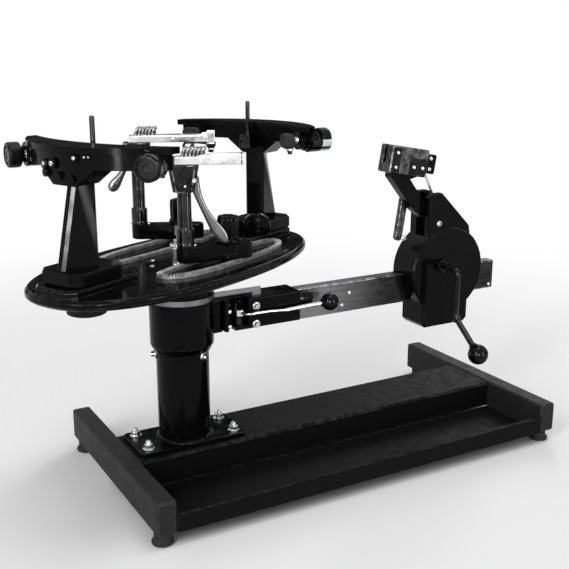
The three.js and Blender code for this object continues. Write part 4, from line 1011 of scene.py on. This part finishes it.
def knurled_ring(radius, low, high, bore):
    # A ring whose rim carries crossed diagonal knurling
    rows = 10
    rim = [(radius, low + 0.8 + (high - low - 1.6) * row / rows) for row in range(rows + 1)]
    form = turned(
        [(bore, low), (radius - 0.8, low)] + rim
        + [(radius - 0.8, high), (bore, high), (bore, low)], 160,
    )
    for point in form.verts:
        reach = hypot(point.co.x, point.co.y)
        if reach > radius - 0.1 and low + 1 < point.co.z < high - 1:
            angle = atan2(point.co.y, point.co.x) * 40
            cross = abs(sin(angle + point.co.z * 1.35)) * abs(sin(angle - point.co.z * 1.35))
            point.co.x *= 1 - 0.55 * cross / reach
            point.co.y *= 1 - 0.55 * cross / reach
    return form


ring_finishes = {"near": (gloss_black, "gloss_black"), "far": (track_steel, "track_steel")}
for mark, base_frame in base_frames.items():
    base = f"clamp_base_{mark}"
    shoe = f"clamp_shoe_{mark}"
    rounded_piece(f"clamp_bar_{mark}", base, 1.2, 3, gloss_black, base, "gloss_black")
    boss_ring = placed(knurled_ring(16.9, base_bottom + 6, base_top - 0.6, 15.4), base_frame)
    ring_finish, ring_slot = ring_finishes[mark]
    mounted(f"knurled_ring_{mark}", boss_ring, ring_finish, base, ring_slot)
    rounded_piece(f"track_shoe_{mark}", shoe, 0.5, 2, dark_steel, shoe, "dark_steel")
    knob_foot = base_top + 0.3
    fluted_knob = turned([
        (0, 0), (17.6, 0), (19, 1.2), (19, 4.6), (18.2, 6.2), (16.8, 7.4), (16.4, 9),
        (16.8, 11), (17, 20), (17, 33), (16.6, 36.4), (15.2, 38.6), (12.8, 39.6),
        (9.4, 39.9), (8.8, 39.2), (0, 39.2),
    ], 160, knob_foot)
    fluted(fluted_knob, 8, 2.6, 12, knob_foot + 7, knob_foot + 39.8)
    placed(fluted_knob, base_frame)
    knob = f"lock_knob_{mark}"
    mounted(f"fluted_knob_{mark}", fluted_knob, gloss_black, knob, "black_phenolic", knob)
    bar_pins = bmesh.new()
    for along in (52, 80, -16):
        added(bar_pins, socket_screw(2.6, 1.2), (along, 0, base_top))
    mounted(f"bar_pins_{mark}", placed(bar_pins, base_frame), bright_steel, base, "chrome")

# Clamp posts. A turned and polished steel post is pressed into the end of each base. It has a
# thick collar below and a spigot above, on which the clamp's head turns.
post_bottom = 390.3
post_heights = {"near": 79, "far": 92}
for mark, base_frame in base_frames.items():
    rise = post_heights[mark]
    post = turned([
        (0, 0), (12.2, 0), (12.8, 0.6), (12.8, 4.2), (12.4, 4.7), (12.4, 5.5), (12.8, 6),
        (12.8, 24), (12.3, 25.2), (10.6, 26.6), (10, 27.4), (10, rise - 5.2), (9.6, rise - 4.8),
        (9.6, rise - 3.8), (10, rise - 3.4), (10, rise - 0.7), (9.3, rise), (7, rise),
        (7, rise + 25), (6.2, rise + 26), (0, rise + 26),
    ], 72)
    post.transform(Matrix.Translation((post_along, 0, post_bottom)))
    placed(post, base_frame)
    mounted(
        f"polished_post_{mark}", post, dark_steel,
        f"clamp_base_{mark}", "dark_steel", f"clamp_post_{mark}",
    )

# Clamp heads. A cast head turns on each post and carries the jaws. Its edges are painted light
# grey, partly as wear and partly as a painted highlight, and a chrome pin holds the lever in its
# slot.


# painted highlight: the light grey edge colour is partly wear and partly a painted edge highlight
head_black_worn_and_highlit = surfaced(
    "worn_and_highlit_black_casting", 0.2, 0.12,
    (12, 5, (0.005, 0.005, 0.005), (0.035, 0.035, 0.036), 0.4, 0.75),
    (6, 5, 0.16, 0.34), (5, 3, 0.05), rub=((0.5, 0.5, 0.5), 0.95),
)
pivot_out, pivot_up = 15, 17
head_frames = {}
for mark, (along, across, base_turn, head_turn) in clamp_places.items():
    underside = post_bottom + post_heights[mark] + 0.3
    head_frames[mark] = (
        base_frames[mark] @ Matrix.Translation((post_along * 0.001, 0, underside * 0.001))
        @ Matrix.Rotation(radians(head_turn - base_turn), 4, "Z")
    )
    head = f"clamp_head_{mark}"
    rounded_piece(f"head_casting_{mark}", head, 1.1, 2, head_black_worn_and_highlit, head, "gloss_black")
    outward = 1 if mark == "near" else -1
    pivot_pin = turned([
        (0, -16.2), (2.6, -16.2), (3.2, -15.5), (3.2, 15.5), (2.6, 16.2), (0, 16.2),
    ], 24)
    head_pins = bmesh.new()
    added(head_pins, pivot_pin, facing((0, 1, 0), (outward * pivot_out, 0, pivot_up)))
    added(head_pins, socket_screw(1.8, 1), facing((0, -1, 0), (outward * 2, -15.4, 9)))
    mounted(f"head_pins_{mark}", placed(head_pins, head_frames[mark]), bright_steel, head, "chrome")

# Clamp jaws. Two bright cast alloy bars lie side by side on each head, one fixed and one moved by
# the lever. A row of leaning steel ridges on top guides the strings. The far clamp's fixed jaw ends
# in a block, under which a black cup holds a bent spring bar.
jaw_bottom = 38.8
jaw_slim_top = 49.6
jaw_top = 53.3
jaw_across = 6.7
guide_across = 4.5
jaw_lengths = {"near": (-22, 86, 24), "far": (-12, 112, 104)}


def jaw_bar(side, start, end, shoulder):
    # A slim bar whose outer end, beyond the shoulder, is taller
    form = block(
        (end - start, 9, jaw_slim_top - jaw_bottom),
        ((start + end) / 2, side * jaw_across, (jaw_slim_top + jaw_bottom) / 2),
    )
    for along in (shoulder - 4, shoulder + 4):
        bmesh.ops.bisect_plane(
            form, geom=form.verts[:] + form.edges[:] + form.faces[:], plane_co=(along, 0, 0),
            plane_no=(1, 0, 0),
        )
    for corner in form.verts:
        if corner.co.x > shoulder + 3 and corner.co.z > jaw_slim_top - 1:
            corner.co.z = jaw_top
    return softened(form, 0.9, 3)


def ridge(foot, side):
    # A thick round wire that stands on the jaw, leans over and curls back at its top
    across = side * guide_across
    return bent_bar([
        (foot - 2.4, across, jaw_slim_top - 2), (foot - 1.6, across, jaw_slim_top + 5.5),
        (foot + 1.4, across, jaw_slim_top + 10.5), (foot + 5.6, across, jaw_slim_top + 12),
    ], 3, 2.35, 12, 4)


jaw_alloy = surfaced(
    "bright_cast_alloy", 1, 0.5, (20, 3, (0.5, 0.5, 0.505), (0.74, 0.74, 0.745), 0.35, 0.6),
    (4, 5, 0.1, 0.17), (3, 2, 0.003), rub=((0.85, 0.85, 0.85), 0.5),
)
spring_steel = surfaced(
    "bright_spring_steel", 1, 0.5, (4, 3, (0.14, 0.14, 0.142), (0.3, 0.3, 0.303)),
    (2, 4, 0.12, 0.24), (1.2, 2, 0.008),
)
black_steel = surfaced(
    "blackened_steel", 0.3, 0.16, (15, 4, (0.006, 0.006, 0.0065), (0.014, 0.014, 0.015)),
    (5, 4, 0.12, 0.24), (1.2, 2, 0.015),
)
end_reach = 5.5
for mark, head_frame in head_frames.items():
    start, end, shoulder = jaw_lengths[mark]
    for kind, side in (("fixed", 1), ("moving", -1)):
        jaw = jaw_bar(side, start, end, shoulder)
        guides = bmesh.new()
        for count in range(6):
            added(guides, ridge(1 + 5.2 * count, side))
        if mark == "near":
            end_band = block(
                (2.2, 9.5, jaw_top - jaw_bottom + 0.6),
                (end - 4, side * jaw_across, (jaw_top + jaw_bottom) / 2),
            )
            added(guides, softened(end_band, 0.5))
        if kind == "fixed":
            if mark == "far":
                end_block = block((14, 12, 19.5), (end + end_reach, 7.95, jaw_bottom + 7.25))
                added(jaw, softened(end_block, 2, 3))
            body = f"clamp_head_{mark}"
        else:
            added(jaw, socket_screw(3, 1.4), facing((0, -1, 0), (58, -11.2, jaw_bottom + 5)))
            body = f"jaw_moving_{mark}"
        placed(jaw, head_frame)
        mounted(f"jaw_bar_{kind}_{mark}", jaw, jaw_alloy, body, "jaw_alloy", f"jaw_{kind}_{mark}")
        placed(guides, head_frame)
        mounted(f"jaw_guides_{kind}_{mark}", guides, spring_steel, body, "jaw_alloy")
    guide_core = softened(block((31, 1.6, 11), (15.5, guide_across, jaw_slim_top + 4)), 0.5)
    placed(guide_core, head_frame)
    mounted(f"guide_core_{mark}", guide_core, black_steel, f"clamp_head_{mark}", "dark_steel")

end_x = jaw_lengths["far"][1] + end_reach
end_cup = turned([
    (0, -2), (8, -2), (8.6, -3), (8.6, -4.2), (8, -5), (0, -5),
], 40, jaw_bottom)
added(end_cup, turned([
    (0, -11), (4.6, -11), (5.4, -11.8), (5.4, -13.2), (4.6, -14), (0, -14),
], 40, jaw_bottom))
end_cup.transform(Matrix.Translation((end_x, jaw_across, 0)))
placed(end_cup, head_frames["far"])
mounted("jaw_end_rings", end_cup, bright_steel, "clamp_head_far", "chrome")
end_nut = turned([
    (0, -4.9), (8, -4.9), (8.2, -7), (7, -9.6), (5, -11.1), (0, -11.1),
], 40, jaw_bottom)
added(end_nut, hexagon(4.8, 4.4, 0.5), (0, 0, jaw_bottom - 18.3))
end_nut.transform(Matrix.Translation((end_x, jaw_across, 0)))
added(end_nut, bent_bar([
    (end_x - 44, 7, jaw_bottom - 10), (end_x - 42, 7, jaw_bottom - 2.6),
    (end_x - 20, 7, jaw_bottom - 2.2), (end_x - 6, 7, jaw_bottom - 4.4),
], 4, 2.1, 16, 6))
placed(end_nut, head_frames["far"])
mounted("jaw_end_cup", end_nut, black_steel, "clamp_head_far", "dark_steel")

# Clamp levers. A curved cast lever hangs from each head and closes the jaws when it is pulled
# outward. It is slim below its root, spreads to a spoon-shaped end, and is satin grey.
lever_reaches = {"near": (1, 84, 38), "far": (-1, 50, 26)}


def spoon_lever(outward, drop, spread):
    # Oval rings along the lever's curve, each as wide and thick as the casting is there
    places = []
    for along, width, thickness in (
        (0, 13.4, 7.6), (0.1, 13.2, 7.6), (0.2, 11.8, 7.6), (0.32, 10.2, 7.4), (0.46, 9.6, 7.2),
        (0.6, 10.6, 7), (0.72, 13.2, 6.6), (0.83, 16.2, 6.2), (0.92, 17.6, 5.8), (0.99, 16.8, 5.2),
        (1.045, 13.6, 4.6), (1.08, 9, 3.6), (1.095, 4, 2.2),
    ):
        slope = atan2(spread * 1.6 * along ** 0.6, drop)
        centre = (pivot_out + spread * along ** 1.6, 0, pivot_up - drop * along)
        places.append(
            Matrix.Translation(centre) @ Matrix.Rotation(-slope, 4, "Y")
            @ Matrix.Diagonal((width / 2, thickness / 2, 1, 1))
        )
    form = lofted(places, 28, 1)
    added(form, turned([
        (0, -4), (6, -4), (7, -3), (7, 3), (6, 4), (0, 4),
    ], 40), facing((0, 1, 0), (pivot_out, 0, pivot_up)))
    if outward < 0:
        form.transform(Matrix.Rotation(pi, 4, "Z"))
    return form


lever_grey = surfaced(
    "satin_grey_casting", 0.75, 0.5, (30, 3, (0.13, 0.13, 0.133), (0.2, 0.2, 0.203)),
    (5, 4, 0.16, 0.24), (1.1, 2, 0.006), rub=((0.5, 0.5, 0.5), 0.7),
)
for mark, (outward, drop, spread) in lever_reaches.items():
    lever_blade = placed(spoon_lever(outward, drop, spread), head_frames[mark])
    lever = f"clamp_lever_{mark}"
    mounted(f"lever_blade_{mark}", lever_blade, lever_grey, lever, "lever_grey", lever)

# Tension head. Its cast housing rides on the rail: a drum for the ratchet and the spring, a box
# below, and a sloping neck above that holds the arm. The casting is gloss black.
rounded_piece(
    "housing_casting", "head_housing", 1.8, 3, gloss_black, "tension_head", "gloss_black",
)
housing_screws = bmesh.new()
pivot_cap = washer(2.4, 5, -0.5, 0.9)
added(pivot_cap, socket_screw(3.8, 2.4), (0, 0, 0.7))
added(housing_screws, pivot_cap, facing((0, -1, 0), (463, -40, 374)))
placed(housing_screws, column_axis)
mounted("housing_screws", housing_screws, bright_steel, "tension_head", "chrome")

# Crank. A bright steel shaft leaves the drum, turns down as the arm and slants outward as the
# handle. The arm is blackened, the handle is plated, and a ball is screwed on its end.
crank_place = Vector((466, 0, 301.8))
crank_elbow = Vector((0, -90, -81))
crank_arm = bent_bar([(0, -18, 0), (0, -90, 0), crank_elbow, (0, -94, -84.2)], 10, 5, 28, 9)
added(crank_arm, turned([
    (5, 0), (10, 0), (11, 0.9), (11, 7), (10.2, 8), (5, 8), (5, 0),
], 48), facing((0, -1, 0), (0, -45.3, 0)))
crank_arm.transform(Matrix.Translation(crank_place))
mounted("crank_arm", placed(crank_arm, column_axis), black_steel, "crank", "dark_steel", "crank")
slant = Vector((0, -58, -46))
crank_handle = bent_bar([(0, -91.5, -82.2), crank_elbow + slant], 1, 5.05, 28)
added(crank_handle, turned([
    (5, -1), (6.6, -1), (7, -0.4), (7, 3.4), (6.6, 4), (5, 4), (5, -1),
], 32), facing(slant, crank_elbow + slant * 0.06))
crank_handle.transform(Matrix.Translation(crank_place))
mounted("crank_handle", placed(crank_handle, column_axis), dark_steel, "crank", "chrome")
ball_centre = crank_place + crank_elbow + slant + slant.normalized() * 5
crank_knob = ball_knob(17, 7.4, 2.6, slant, ball_centre)
placed(crank_knob, column_axis)
mounted("crank_knob", crank_knob, phenolic, "crank", "black_phenolic", "crank_ball")

# Tension arm. A cast arm leans out of the neck and carries the gripper. It swings on the neck's
# pin when the set pull is reached, and a thin bright rod runs beside it to the gripper.
arm_plane = -15
rounded_piece("arm_casting", "tension_arm", 1.5, 3, gloss_black, "tension_arm", "gloss_black")
rounded_piece("steady_rod", "tension_rod", 0.3, 2, bright_steel, "tension_arm", "chrome")

# Gripper. A burnished steel block with a slot along its top holds the string between a fixed
# and a moving plate. Screws and pins go through it, and a black block closes its far end.


grip_frame = (
    column_axis @ Matrix.Translation((0.402, arm_plane * 0.001, 0.4827))
    @ Matrix.Rotation(radians(10), 4, "Y")
)
burnished = surfaced(
    "burnished_steel", 0.9, 0.5,
    (11, 5, (0.02, 0.02, 0.0205), (0.13, 0.13, 0.132), 0.38, 0.72),
    (6, 5, 0.22, 0.42), (1.2, 3, 0.025, (1, 5, 1)), rub=((0.5, 0.5, 0.5), 0.85),
)
gripper_block = rounded_copy("gripper_body", 1.1, 3)
into_grip = grip_frame.inverted()
for face in gripper_block.faces:
    face.material_index = 1 if (into_grip @ face.calc_center_median()).x > 0.0375 else 0
gripper = mounted(
    "gripper_block", gripper_block, burnished, "tension_arm", "dark_steel", "gripper_body",
)
gripper.data.materials.append(gloss_black)
grip_plates = bmesh.new()
for along, width, height, drop in ((-29, 16, 41, 0), (17, 34, 27, -7)):
    plate = block((width, 2.2, height), (along, -18.6, drop))
    added(grip_plates, softened(plate, 0.7))
mounted("gripper_plates", placed(grip_plates, grip_frame), black_steel, "tension_arm", "dark_steel")
grip_screws = bmesh.new()
for along, level in ((-29, 12), (-29, -12), (8, -8), (26, -8)):
    added(grip_screws, socket_screw(3, 2), facing((0, -1, 0), (along, -19.6, level)))
for along, level in ((46, 10), (46, -8)):
    added(grip_screws, socket_screw(3.4, 2.4), facing((0, -1, 0), (along, -12, level)))
added(grip_screws, socket_screw(3.4, 2.4), facing((1, 0, 0), (60, 0, 0)))
mounted("gripper_screws", placed(grip_screws, grip_frame), bright_steel, "tension_arm", "chrome")
rounded_piece(
    "gripper_jaw_plate", "gripper_jaw", 0.5, 2, burnished, "gripper_jaw", "rail_steel",
)

# Release lever. A rounded steel bar, rubbed bright along its edges, hangs beside the arm and frees
# the catch when pressed. A plated screw sits near its lower end.
release_low, release_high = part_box("release_lever")
release_top = Vector((release_high.x, (release_low.y + release_high.y) / 2, release_high.z))
release_bar = rounded_copy("release_lever", 1.6, 4, 35)
upright = (
    Matrix.Translation(release_top + Vector((0.001, 0, -0.003)))
    @ Matrix.Rotation(radians(-6), 4, "Y") @ Matrix.Translation(-release_top)
)
release_bar.transform(upright)
release_foot = min((corner.co.copy() for corner in release_bar.verts), key=lambda place: place.z)
near_foot = [corner.co.x for corner in release_bar.verts if corner.co.z < release_foot.z + 0.006]
release_foot.x = (min(near_foot) + max(near_foot)) / 2
mounted("release_bar", release_bar, burnished, "release_lever", "dark_steel", "release_lever")
release_screw = washer(2.2, 4.6, -0.4, 0.8)
added(release_screw, socket_screw(3.6, 2.6), (0, 0, 0.6))
release_screw.transform(facing((0, -1, 0), (0, 0, 0)))
release_seat = (release_foot.x + 0.001, release_low.y, release_foot.z + 0.007)
placed(release_screw, Matrix.Translation(release_seat))
mounted("release_screw", release_screw, bright_steel, "release_lever", "chrome")
